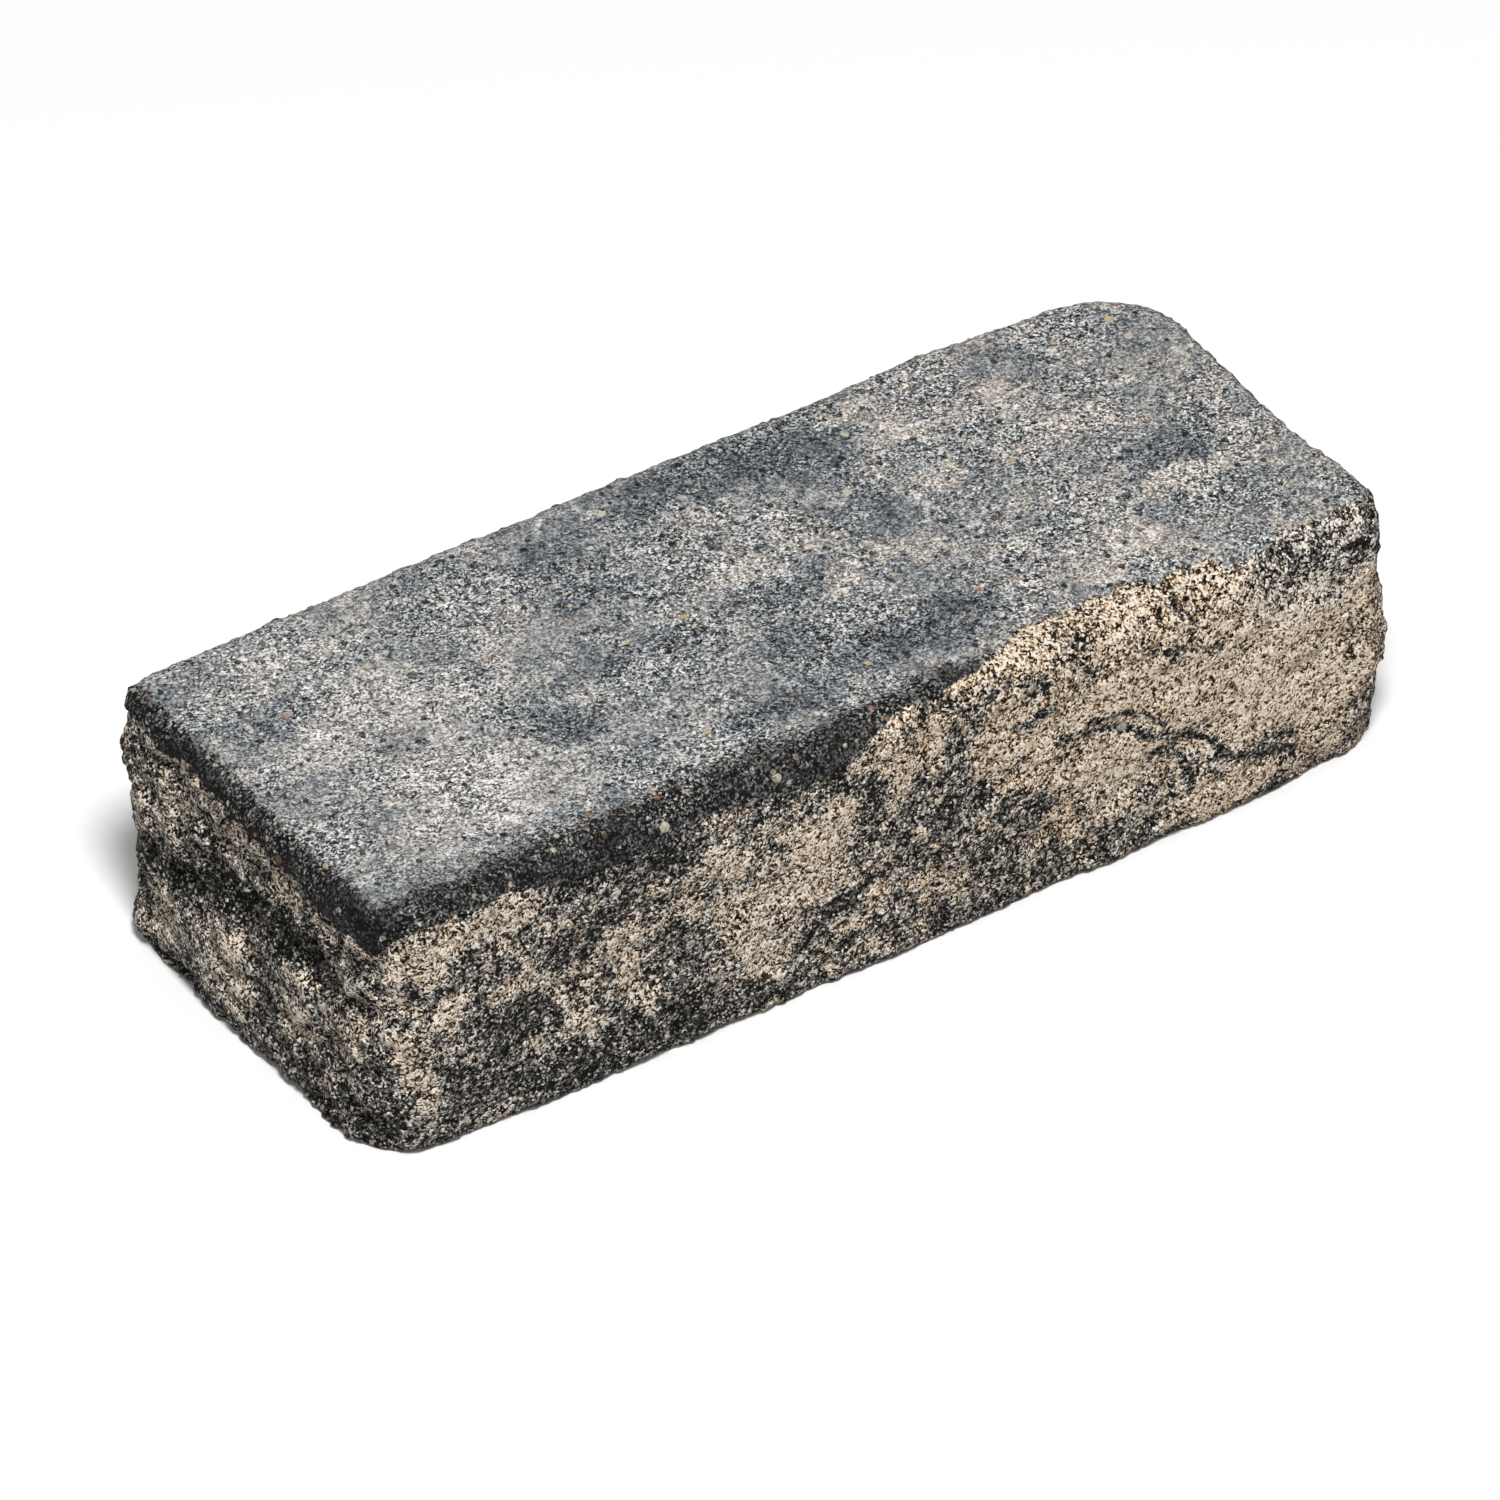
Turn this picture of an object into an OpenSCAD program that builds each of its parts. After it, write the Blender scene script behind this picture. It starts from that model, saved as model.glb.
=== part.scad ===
// Tumbled concrete wall block: one solid casting with flat beds above and
// below, a split front face, a coarsely torn left end and rounded arrises.
// The block lies on its lower bed. +X runs along the wall, -Y is the split
// front face, +Z is up, and the origin is at the middle of the lower bed.

/* [Block] */
// Length along the wall, over the tallest humps
block_length = 404; // [300:1:600]
// Depth from the split front face to the back, over the tallest humps
block_depth = 164; // [120:1:300]
// Course height, from the lower bed to the upper bed
block_height = 100; // [70:1:200]

/* [Corners] */
// Plan radius of the front left corner
front_left_corner = 21; // [10:1:45]
// Plan radius of the front right corner
front_right_corner = 19; // [10:1:45]
// Plan radius of the back right corner, the most worn one
back_right_corner = 38; // [10:1:45]
// Plan radius of the back left corner
back_left_corner = 16; // [10:1:45]

/* [Arrises] */
// Radius of the arris round the upper bed
top_arris = 11; // [6:0.5:18]
// Radius of the arris round the lower bed
bed_arris = 4; // [3:0.5:12]
// Extra radius where the front top arris has broken away
broken_arris = 8; // [0:0.5:12]
// Distance from the right end to the middle of the broken stretch
broken_from_right = 85; // [60:1:150]
// Half the length of the broken stretch
broken_reach = 125; // [40:1:140]

/* [Split relief] */
// Height of the humps on the split front face
front_relief = 2.4; // [0:0.1:4]
// Height of the humps on the torn left end
left_relief = 3.2; // [0:0.1:5]
// Height of the humps on the right end
right_relief = 3; // [0:0.1:5]
// Height of the humps on the back
back_relief = 2.6; // [0:0.1:5]
// Distance from one hump to the next
hump_pitch = 34; // [24:1:60]
// Share of the relief that still shows at the arris of the upper bed
crest_relief = 0.45; // [0:0.05:1]
// Depth of the mean face under its tallest humps, as a share of the relief
hump_stand = 0.8; // [0.5:0.05:1.2]
// Choice of the pattern of humps
relief_seed = 11; // [1:1:99]

/* [Tears] */
// Depth of the seam torn across the left end
seam_depth = 4; // [0:0.1:6]
// Height of the seam above the lower bed at the back
seam_back_height = 46; // [30:1:70]
// Height of the seam above the lower bed at the front
seam_front_height = 64; // [30:1:70]
// Half the width of the seam
seam_reach = 13; // [9:1:20]
// Depth of the hollow under the arris of the left end
ledge_depth = 2.5; // [0:0.1:5]
// Depth of the hollows broken out of the left end along the lower bed
foot_chip_depth = 4; // [0:0.1:6]

/* [Facets] */
// Longest facet along the faces
facet_length = 7; // [5:0.5:20]
// Tallest facet up the faces
facet_height = 8.5; // [6:0.5:20]

/* [Hidden] */
concrete_grey = [0.42, 0.42, 0.41];
half_length = block_length / 2;
half_depth = block_depth / 2;
// The casting stands this much proud of each bed before the beds are cut flat.
bed_skim = 0.4;
crest = block_height + bed_skim;
foot = -bed_skim;
// No ring of the casting has a plan corner sharper than this.
least_corner = 4;
// Height of the small humps, as a share of the broad ones
fine_share = 0.45;
// The relief fades into the upper arris over this height.
crest_fade = 2 * top_arris;

// Corners go round in the order front left, front right, back right, back left.
corner_radii = [front_left_corner, front_right_corner, back_right_corner, back_left_corner];
corner_sides = [[-1, -1], [1, -1], [1, 1], [-1, 1]];
corner_count = len(corner_radii);
first_corner_angle = 180;
corner_sweep = 90;
corner_facets = 7;
length_facets = ceil(block_length / facet_length);
depth_facets = ceil(block_depth / facet_length);
side_facets = [length_facets, depth_facets, length_facets, depth_facets];

// Facets up the lower arris, up the faces and up the upper arris.
bed_arris_facets = 2;
top_arris_facets = 4;
face_facets = ceil((block_height - bed_arris - top_arris) / facet_height);
level_count = bed_arris_facets + face_facets + top_arris_facets + 1;

// Each tear is its middle, its reach along X, Y and Z, and its depth. A
// negative depth is a bulge.
seam_rise = seam_front_height - seam_back_height;
tears = [
    // Seam across the left end, rising to the front
    [[-half_length, 0.55 * half_depth, seam_back_height], [30, 30, seam_reach], seam_depth],
    [[-half_length, 0.05 * half_depth, seam_back_height + seam_rise / 2], [30, 30, seam_reach], seam_depth],
    [[-half_length, -0.45 * half_depth, seam_front_height], [30, 28, seam_reach], seam_depth],
    // Hollow under the arris of the left end
    [[-half_length, 0.2 * half_depth, block_height - 22], [20, 70, 13], ledge_depth],
    // Back left corner: a bulge over a hollow
    [[-half_length, half_depth, block_height - 20], [24, 24, 14], -1],
    [[-half_length, half_depth, 0.52 * block_height], [26, 26, 32], 3.3],
    // Hollows along the lower bed of the left end
    [[-half_length, 35, 0], [22, 14, 26], foot_chip_depth],
    [[-half_length, half_depth - 18, 0], [22, 22, 26], -2.4],
    [[-half_length, 5, 0], [20, 14, 24], -1.5],
    [[-half_length, -24, 0], [20, 12, 20], foot_chip_depth - 2],
    // Front left corner, broken at the foot
    [[-half_length, -half_depth, 0], [56, 36, 26], 4.5],
    // Right end: a bulge at the back and a hollow in the middle
    [[half_length, 46, block_height], [24, 22, 50], -2],
    [[half_length, -14, block_height], [24, 38, 40], 4.5],
    // Back right corner, worn away along the back
    [[half_length - 36, half_depth, block_height], [50, 24, 60], 5.5],
    // Front right corner, broken at the foot and at the crest over a bulge
    [[half_length, -half_depth, 0], [44, 30, 26], 5],
    [[half_length, -half_depth, 0.44 * block_height], [26, 26, 30], -3.8],
    [[half_length, -half_depth, block_height], [30, 30, 20], 5.5],
    // Foot of the split front: two stretches that stand out, and one set back near each end
    [[0.54 * half_length, -half_depth, 0], [52, 24, 34], -1.6],
    [[-0.36 * half_length, -half_depth, 0], [36, 24, 34], -1.2],
    [[0.8 * half_length, -half_depth, 0], [26, 22, 30], 2.2],
    [[-0.74 * half_length, -half_depth, 0], [26, 22, 30], 1.8],
    [[0, -half_depth, 0], [26, 22, 30], 1.1],
    // Crest of the back: a stretch that stands out and two hollows
    [[-0.68 * half_length, half_depth, block_height], [34, 24, 50], -1.1],
    [[-0.2 * half_length, half_depth, block_height], [30, 24, 50], 2.4],
    [[0.44 * half_length, half_depth, block_height], [26, 24, 50], 1.6],
];

function bell(q) = q >= 1 ? 0 : pow(1 - q * q, 2);

function smooth_share(f) = f * f * (3 - 2 * f);

function mix(a, b, share) = a + (b - a) * share;

function clamp(v, low, high) = max(low, min(high, v));

// Random height at one point of a cubic lattice
function lattice_height(cell, seed) =
    rands(-1, 1, 1, seed * 7919 + cell.x * 73 + cell.y * 1543 + cell.z * 331)[0];

// Smooth random height anywhere in space, from -1 to 1
function humps(p, pitch, seed) =
    let (
        q = p / pitch,
        cell = [floor(q.x), floor(q.y), floor(q.z)],
        share = [for (axis = [0:2]) smooth_share(q[axis] - cell[axis])],
        corner = [for (k = [0:1]) [for (j = [0:1]) [for (i = [0:1])
            lattice_height(cell + [i, j, k], seed)]]],
        edges = [for (k = [0:1]) [for (j = [0:1]) mix(corner[k][j][0], corner[k][j][1], share.x)]],
        faces = [for (k = [0:1]) mix(edges[k][0], edges[k][1], share.y)]
    )
    mix(faces[0], faces[1], share.z);

// Relief height for an outward direction, blended round the corners
function relief_height(out) =
    pow(max(0, -out.y), 2) * front_relief + pow(max(0, out.y), 2) * back_relief
    + pow(max(0, -out.x), 2) * left_relief + pow(max(0, out.x), 2) * right_relief;

function tear_depth(p) =
    [for (tear = tears)
        let (d = p - tear[0], reach = tear[1])
        tear[2] * bell(norm([d.x / reach.x, d.y / reach.y, d.z / reach.z]))]
    * [for (tear = tears) 1];

// How far the surface stands out from the plain rounded block at a point
function relief(p, out) =
    let (
        fade = mix(crest_relief, 1, clamp((block_height - p.z) / crest_fade, 0, 1)),
        broad = humps(p, hump_pitch, relief_seed),
        fine = humps(p, hump_pitch / 2, relief_seed + 1),
        height = broad + fine_share * fine - hump_stand
    )
    fade * (relief_height(out) * height - tear_depth(p));

// A station is [corner, share, on_side]: a share of the way round a corner's
// arc, or a share of the way along the side that follows that corner.
stations = [for (corner = [0:corner_count - 1]) each concat(
    [for (i = [0:corner_facets - 1]) [corner, i / corner_facets, false]],
    [for (i = [0:side_facets[corner] - 1]) [corner, i / side_facets[corner], true]])];

function station_angle(station) =
    first_corner_angle + corner_sweep * (station[0] + (station[2] ? 1 : station[1]));

function arc_point(corner, share, inset) =
    let (
        radius = max(corner_radii[corner] - inset, least_corner),
        side = corner_sides[corner],
        angle = first_corner_angle + corner_sweep * (corner + share)
    )
    [side.x * (half_length - inset - radius), side.y * (half_depth - inset - radius)]
    + radius * [cos(angle), sin(angle)];

function plan_point(station, inset) =
    station[2]
    ? mix(arc_point(station[0], 1, inset), arc_point((station[0] + 1) % corner_count, 0, inset),
        station[1])
    : arc_point(station[0], station[1], inset);

// Radius of the upper arris at a station, larger along the broken stretch
function arris_at(station) =
    let (
        out_y = sin(station_angle(station)),
        x = plan_point(station, 0).x,
        from_middle = abs(x - (half_length - broken_from_right))
    )
    top_arris + broken_arris * max(0, -out_y) * bell(from_middle / broken_reach);

// Height and inset of a level, counted up from the foot of the casting
function level_at(level, arris) =
    let (
        face_foot = foot + bed_arris,
        face_top = crest - arris,
        top_step = level - bed_arris_facets - face_facets
    )
    level < bed_arris_facets
    ? let (a = 90 * level / bed_arris_facets)
        [foot + bed_arris * (1 - cos(a)), bed_arris * (1 - sin(a))]
    : top_step <= 0
    ? [mix(face_foot, face_top, (level - bed_arris_facets) / face_facets), 0]
    : let (a = 90 * top_step / top_arris_facets)
        [face_top + arris * sin(a), arris * (1 - cos(a))];

// A point of the skin: the plain block's own point, set in or out by the relief
function skin_point(station, level) =
    let (
        height_inset = level_at(level, arris_at(station)),
        height = height_inset[0],
        inset = height_inset[1],
        plain = plan_point(station, inset),
        angle = station_angle(station),
        out = [cos(angle), sin(angle)],
        skin = plan_point(station, inset - relief([plain.x, plain.y, height], out))
    )
    [skin.x, skin.y, height];

module casting() {
    ring = len(stations);
    points = [for (level = [0:level_count - 1]) for (station = stations) skin_point(station, level)];
    sides = [for (level = [0:level_count - 2]) for (i = [0:ring - 1])
        let (
            a = level * ring + i,
            b = level * ring + (i + 1) % ring,
            c = b + ring,
            d = a + ring
        )
        each [[a, c, b], [a, d, c]]];
    lower_bed = [for (i = [0:ring - 1]) i];
    upper_bed = [for (i = [ring - 1:-1:0]) (level_count - 1) * ring + i];
    polyhedron(points, concat(sides, [lower_bed, upper_bed]), convexity = 6);
}

module block() {
    color(concrete_grey)
    intersection() {
        casting();
        translate([-block_length, -block_depth, 0])
            cube([2 * block_length, 2 * block_depth, block_height]);
    }
}

block();
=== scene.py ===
"""Looks of a tumbled, split-faced concrete wall block.

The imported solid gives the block's shape and size. This script lays a fine skin over it, roughens
the skin as split and tumbled concrete is, dresses it, and stands it on a pale studio floor.
All lengths are in metres unless a name says otherwise.
"""

import functools
import logging
import math
from dataclasses import dataclass
from enum import Enum
from itertools import product
from typing import ClassVar, Iterator

import bpy
import numpy as np
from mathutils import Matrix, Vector
from mathutils.bvhtree import BVHTree
from mathutils.geometry import delaunay_2d_cdt


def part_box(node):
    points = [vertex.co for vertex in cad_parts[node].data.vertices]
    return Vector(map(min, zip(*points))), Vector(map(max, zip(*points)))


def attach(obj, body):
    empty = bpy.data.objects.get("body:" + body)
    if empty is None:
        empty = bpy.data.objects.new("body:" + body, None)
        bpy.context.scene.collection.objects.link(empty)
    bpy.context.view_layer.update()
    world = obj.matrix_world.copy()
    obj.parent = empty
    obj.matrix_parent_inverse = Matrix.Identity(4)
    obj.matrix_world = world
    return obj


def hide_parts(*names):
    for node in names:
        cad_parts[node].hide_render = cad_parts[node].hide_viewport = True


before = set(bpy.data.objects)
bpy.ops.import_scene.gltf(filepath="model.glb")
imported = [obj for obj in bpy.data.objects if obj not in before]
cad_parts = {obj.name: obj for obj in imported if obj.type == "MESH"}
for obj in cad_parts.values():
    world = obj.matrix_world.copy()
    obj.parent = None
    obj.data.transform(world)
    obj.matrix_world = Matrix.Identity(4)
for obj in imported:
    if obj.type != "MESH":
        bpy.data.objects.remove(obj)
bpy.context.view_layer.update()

log = logging.getLogger("wall_block")
MM = 0.001
# Guards against division by nothing, and the gap within which corners of a bed are joined
TINY = 1e-9
LEAST_SLOPE = 1e-6
JOIN_GAP = 1e-8


class Side(Enum):
    """The faces of the block that are shaped and dressed on their own."""

    FRONT = "front"
    BACK = "back"
    LEFT = "left"
    RIGHT = "right"
    BED = "bed"


@dataclass(frozen=True)
class Patch:
    """A soft-edged spot of paler or darker concrete on one face.

    Places and reaches are in millimetres along the face's own two axes. A positive strength is
    cream, a negative one is charcoal or, on the left end's seam and between its lobes, painted shade.
    """

    # Strength at the middle before it is cut off at 1, which leaves a flat middle
    crown: ClassVar[float] = 1.3
    across: float
    up: float
    reach_across: float
    reach_up: float
    strength: float

    def weigh(self, across: np.ndarray, up: np.ndarray) -> np.ndarray:
        """Tone that the patch adds at each place on its face.

        Args:
            across: Places along the face, in millimetres.
            up: Places up the face, in millimetres.

        Returns:
            The tone, 0 beyond the patch's reach.
        """
        far = ((across - self.across) / self.reach_across) ** 2
        far = far + ((up - self.up) / self.reach_up) ** 2
        return self.strength * np.clip(self.crown - far, 0, 1)


@dataclass(frozen=True)
class Vein:
    """A wandering line of paler or darker concrete on one face, in millimetres."""

    crown: ClassVar[float] = 1.4
    route: tuple[tuple[float, float], ...]
    reach: float
    strength: float

    def weigh(self, across: np.ndarray, up: np.ndarray) -> np.ndarray:
        """Tone that the vein adds at each place on its face.

        Args:
            across: Places along the face's first axis, in millimetres.
            up: Places along the face's second axis, in millimetres.

        Returns:
            The added tone, one value for each place.
        """
        nearest = np.full(across.shape, np.inf)
        for (x0, y0), (x1, y1) in zip(self.route, self.route[1:]):
            run, rise = x1 - x0, y1 - y0
            share = ((across - x0) * run + (up - y0) * rise) / (run * run + rise * rise)
            share = np.clip(share, 0, 1)
            far = np.hypot(across - x0 - share * run, up - y0 - share * rise)
            nearest = np.minimum(nearest, far)
        return self.strength * np.clip(self.crown - nearest / self.reach, 0, 1)


FRONT_PATCHES = (
    # Charcoal skin that hangs over the front arris, from the left end to the middle
    Patch(-192, 100, 16, 6, -0.4),
    Patch(-165, 101, 20, 6, -0.35),
    Patch(-122, 93, 15, 13, -0.26),
    Patch(-92, 88, 17, 15, -0.34),
    Patch(-70, 98, 18, 7, -0.5),
    Patch(-42, 93, 14, 10, -0.38),
    Patch(-26, 88, 9, 8, -0.3),
    # Left third: cream over charcoal
    Patch(-184, 79, 20, 13, 0.13),
    Patch(-112, 52, 66, 34, -0.13),
    Patch(-133, 74, 34, 10, -0.1),
    Patch(-150, 88, 12, 9, 0.3),
    Patch(-178, 90, 12, 7, 0.15),
    Patch(-150, 70, 10, 7, 0.2),
    Patch(-120, 71, 18, 9, -0.15),
    Patch(-153, 55, 10, 6, 0.3),
    Patch(-150, 42, 18, 8, -0.3),
    Patch(-192, 52, 8, 10, 0.1),
    Patch(-194, 20, 9, 18, -0.3),
    Vein(((-141, 63), (-136, 50), (-128, 38)), 5, 0.4),
    Vein(((-113, 58), (-104, 46), (-101, 33), (-91, 26)), 5, 0.4),
    Vein(((-121, 29), (-113, 20)), 3, 0.4),
    Vein(((-189, 40), (-184, 25), (-182, 10)), 4, 0.45),
    Vein(((-87, 55), (-84, 38)), 3, -0.35),
    Patch(-120, 11, 70, 13, -0.34),
    Patch(-160, 26, 18, 12, -0.25),
    Patch(-70, 14, 40, 10, -0.25),
    # Middle: one large cream cloud with charcoal pools
    Patch(-70, 72, 9, 7, 0.45),
    Patch(-50, 48, 24, 22, 0.44),
    Patch(-31, 68, 12, 9, 0.35),
    Patch(-25, 34, 9, 4, -0.6),
    Patch(-32, 24, 5, 7, -0.6),
    Patch(-22, 17, 6, 5, -0.5),
    Patch(-14, 35, 6, 3, -0.5),
    Patch(-11, 67, 6, 10, -0.35),
    Patch(-9, 28, 8, 8, 0.2),
    Patch(-4, 88, 9, 12, 0.35),
    Patch(8, 82, 14, 14, 0.22),
    Patch(22, 76, 4, 14, -0.3),
    Patch(22, 52, 14, 9, -0.45),
    Patch(9, 56, 11, 6, -0.25),
    Patch(50, 41, 15, 4, -0.35),
    Patch(40, 60, 12, 3, -0.2),
    Patch(10, 30, 7, 9, 0.2),
    Patch(35, 24, 50, 22, -0.14),
    Patch(100, 28, 26, 26, -0.14),
    Patch(60, 1, 150, 6, -0.2),
    # Right third: cream with wandering charcoal veins
    Patch(126, 52, 76, 44, 0.53),
    Patch(52, 70, 22, 14, 0.34),
    Patch(47, 50, 14, 8, 0.2),
    Patch(96, 76, 16, 10, 0.2),
    Patch(142, 36, 20, 9, 0.25),
    Patch(186, 68, 8, 9, 0.35),
    Patch(154, 36, 38, 15, 0.22),
    Patch(152, 72, 26, 10, -0.16),
    Patch(135, 101, 4, 6, -0.9),
    Patch(138, 12, 12, 6, 0.12),
    Patch(176, 16, 14, 9, 0.1),
    Patch(68, 55, 6, 8, -0.4),
    Patch(130, 24, 9, 5, -0.4),
    Patch(149, 25, 12, 6, -0.55),
    Patch(160, 15, 12, 4, -0.2),
    Patch(124, 72, 5, 5, -0.75),
    Patch(118, 64, 3, 3, -0.5),
    Patch(106, 82, 12, 4, -0.45),
    Patch(70, 95, 5, 7, -0.5),
    Patch(147, 92, 14, 13, -0.22),
    Patch(176, 92, 20, 12, -0.2),
    Patch(108, 30, 12, 12, -0.2),
)

# Fine charcoal lines of the right third, which hardly stray
FRONT_VEINS = (
    Vein(((64, 60), (72, 59), (82, 58), (90, 54), (98, 49), (108, 44), (119, 40), (128, 31)), 1.7, -1.1),
    Vein(((76, 64), (86, 64), (96, 59), (104, 52)), 1.3, -0.9),
    Vein(((88, 41), (97, 40), (108, 40), (113, 32), (116, 20)), 1.5, -0.9),
    Vein(((46, 74), (52, 72), (59, 75)), 1.6, -0.7),
    Vein(((128, 31), (134, 24), (148, 19), (158, 15)), 1.6, -0.75),
    Vein(((-38, 36), (-26, 33), (-16, 36)), 1.3, -0.75),
)

# Where the front is greyer than its cream would make it
FRONT_COOL = (
    Patch(165, 88, 36, 22, 0.85),
    Patch(98, 24, 28, 22, 0.4),
    Patch(-125, 12, 80, 14, 0.3),
)

LEFT_PATCHES_AND_SHADE = (
    # Painted shade along the seam's recess, which rises to the front, and painted shade under the arris
    Vein(((66, 36), (48, 42), (30, 50), (8, 54), (-18, 60), (-44, 66)), 9, -0.45),
    Patch(50, 40, 16, 9, -0.3),
    Patch(-10, 56, 16, 8, -0.3),
    # Brown streaks under the arris
    Patch(45, 88, 22, 7, 0.32),
    Patch(12, 86, 22, 8, 0.3),
    Patch(-25, 84, 16, 6, 0.2),
    Patch(-70, 84, 14, 9, 0.4),
    Patch(48, 74, 14, 5, 0.2),
    Patch(12, 71, 14, 5, 0.25),
    Patch(-52, 65, 9, 5, 0.25),
    # Cream lobes below the seam
    Patch(50, 24, 12, 9, 0.26),
    Patch(10, 28, 11, 15, 0.22),
    Patch(-32, 32, 11, 9, 0.4),
    Patch(-45, 52, 14, 6, 0.05),
    # Painted shade between the lobes
    Patch(33, 16, 7, 8, -0.4),
    Patch(-8, 15, 7, 8, -0.4),
    Patch(-70, 25, 14, 18, -0.2),
    Patch(0, 2, 80, 10, -0.36),
)

TOP_PATCHES = (
    # Cream clouds of the left half
    Patch(-168, 8, 14, 14, 0.14),
    Patch(-140, 22, 26, 16, 0.12),
    Patch(-118, 10, 16, 20, 0.1),
    Patch(-135, -25, 30, 18, 0.12),
    Patch(-105, -38, 20, 10, 0.1),
    Patch(-125, -52, 38, 8, 0.12),
    Patch(-150, 55, 30, 14, 0.06),
    # Charcoal clouds
    Patch(-45, 52, 18, 15, -0.16),
    Patch(-46, 28, 16, 9, -0.16),
    Patch(-50, -6, 34, 8, -0.14),
    Patch(-92, -25, 16, 9, -0.18),
    Patch(12, 62, 36, 14, -0.18),
    Patch(52, 55, 22, 18, -0.16),
    Patch(55, 12, 16, 13, -0.16),
    Patch(0, -4, 24, 6, -0.12),
    Patch(30, -48, 34, 14, -0.25),
    Patch(-4, -30, 14, 10, -0.17),
    Patch(156, -15, 22, 11, -0.18),
    Patch(-30, -55, 26, 9, -0.24),
    Patch(-165, 30, 12, 10, -0.12),
    # Cream splashes of the right half
    Patch(75, 60, 8, 7, 0.2),
    Patch(86, 46, 7, 8, 0.2),
    Patch(86, 18, 8, 7, 0.2),
    Patch(122, 46, 11, 8, 0.16),
    Patch(130, 18, 9, 6, 0.18),
    Patch(25, -12, 10, 6, 0.18),
    Patch(42, -4, 12, 5, 0.12),
    Patch(115, -45, 10, 9, 0.2),
    Patch(98, -57, 10, 5, 0.2),
    Patch(150, -27, 22, 5, 0.14),
    Patch(-8, 12, 24, 5, 0.1),
)


# Where the moulded skin of the upper bed ends: for each place along a side, how far in from that
# side, or below zero how far down its face, in millimetres.
FRONT_BREAK = (
    (-205, -8), (-188, -4), (-156, -5), (-142, -4), (-125, -9), (-108, -11), (-84, -10), (-72, -8),
    (-60, -7), (-45, -11), (-30, -12), (-16, -6), (0, 3), (25, 5), (42, 9), (56, 17), (98, 18),
    (112, 13), (130, 14), (137, 7), (146, 5), (158, 11), (195, 12),
)
LEFT_BREAK = ((-80, -13), (-45, -12), (-5, -8), (20, -6), (80, -6))


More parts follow.
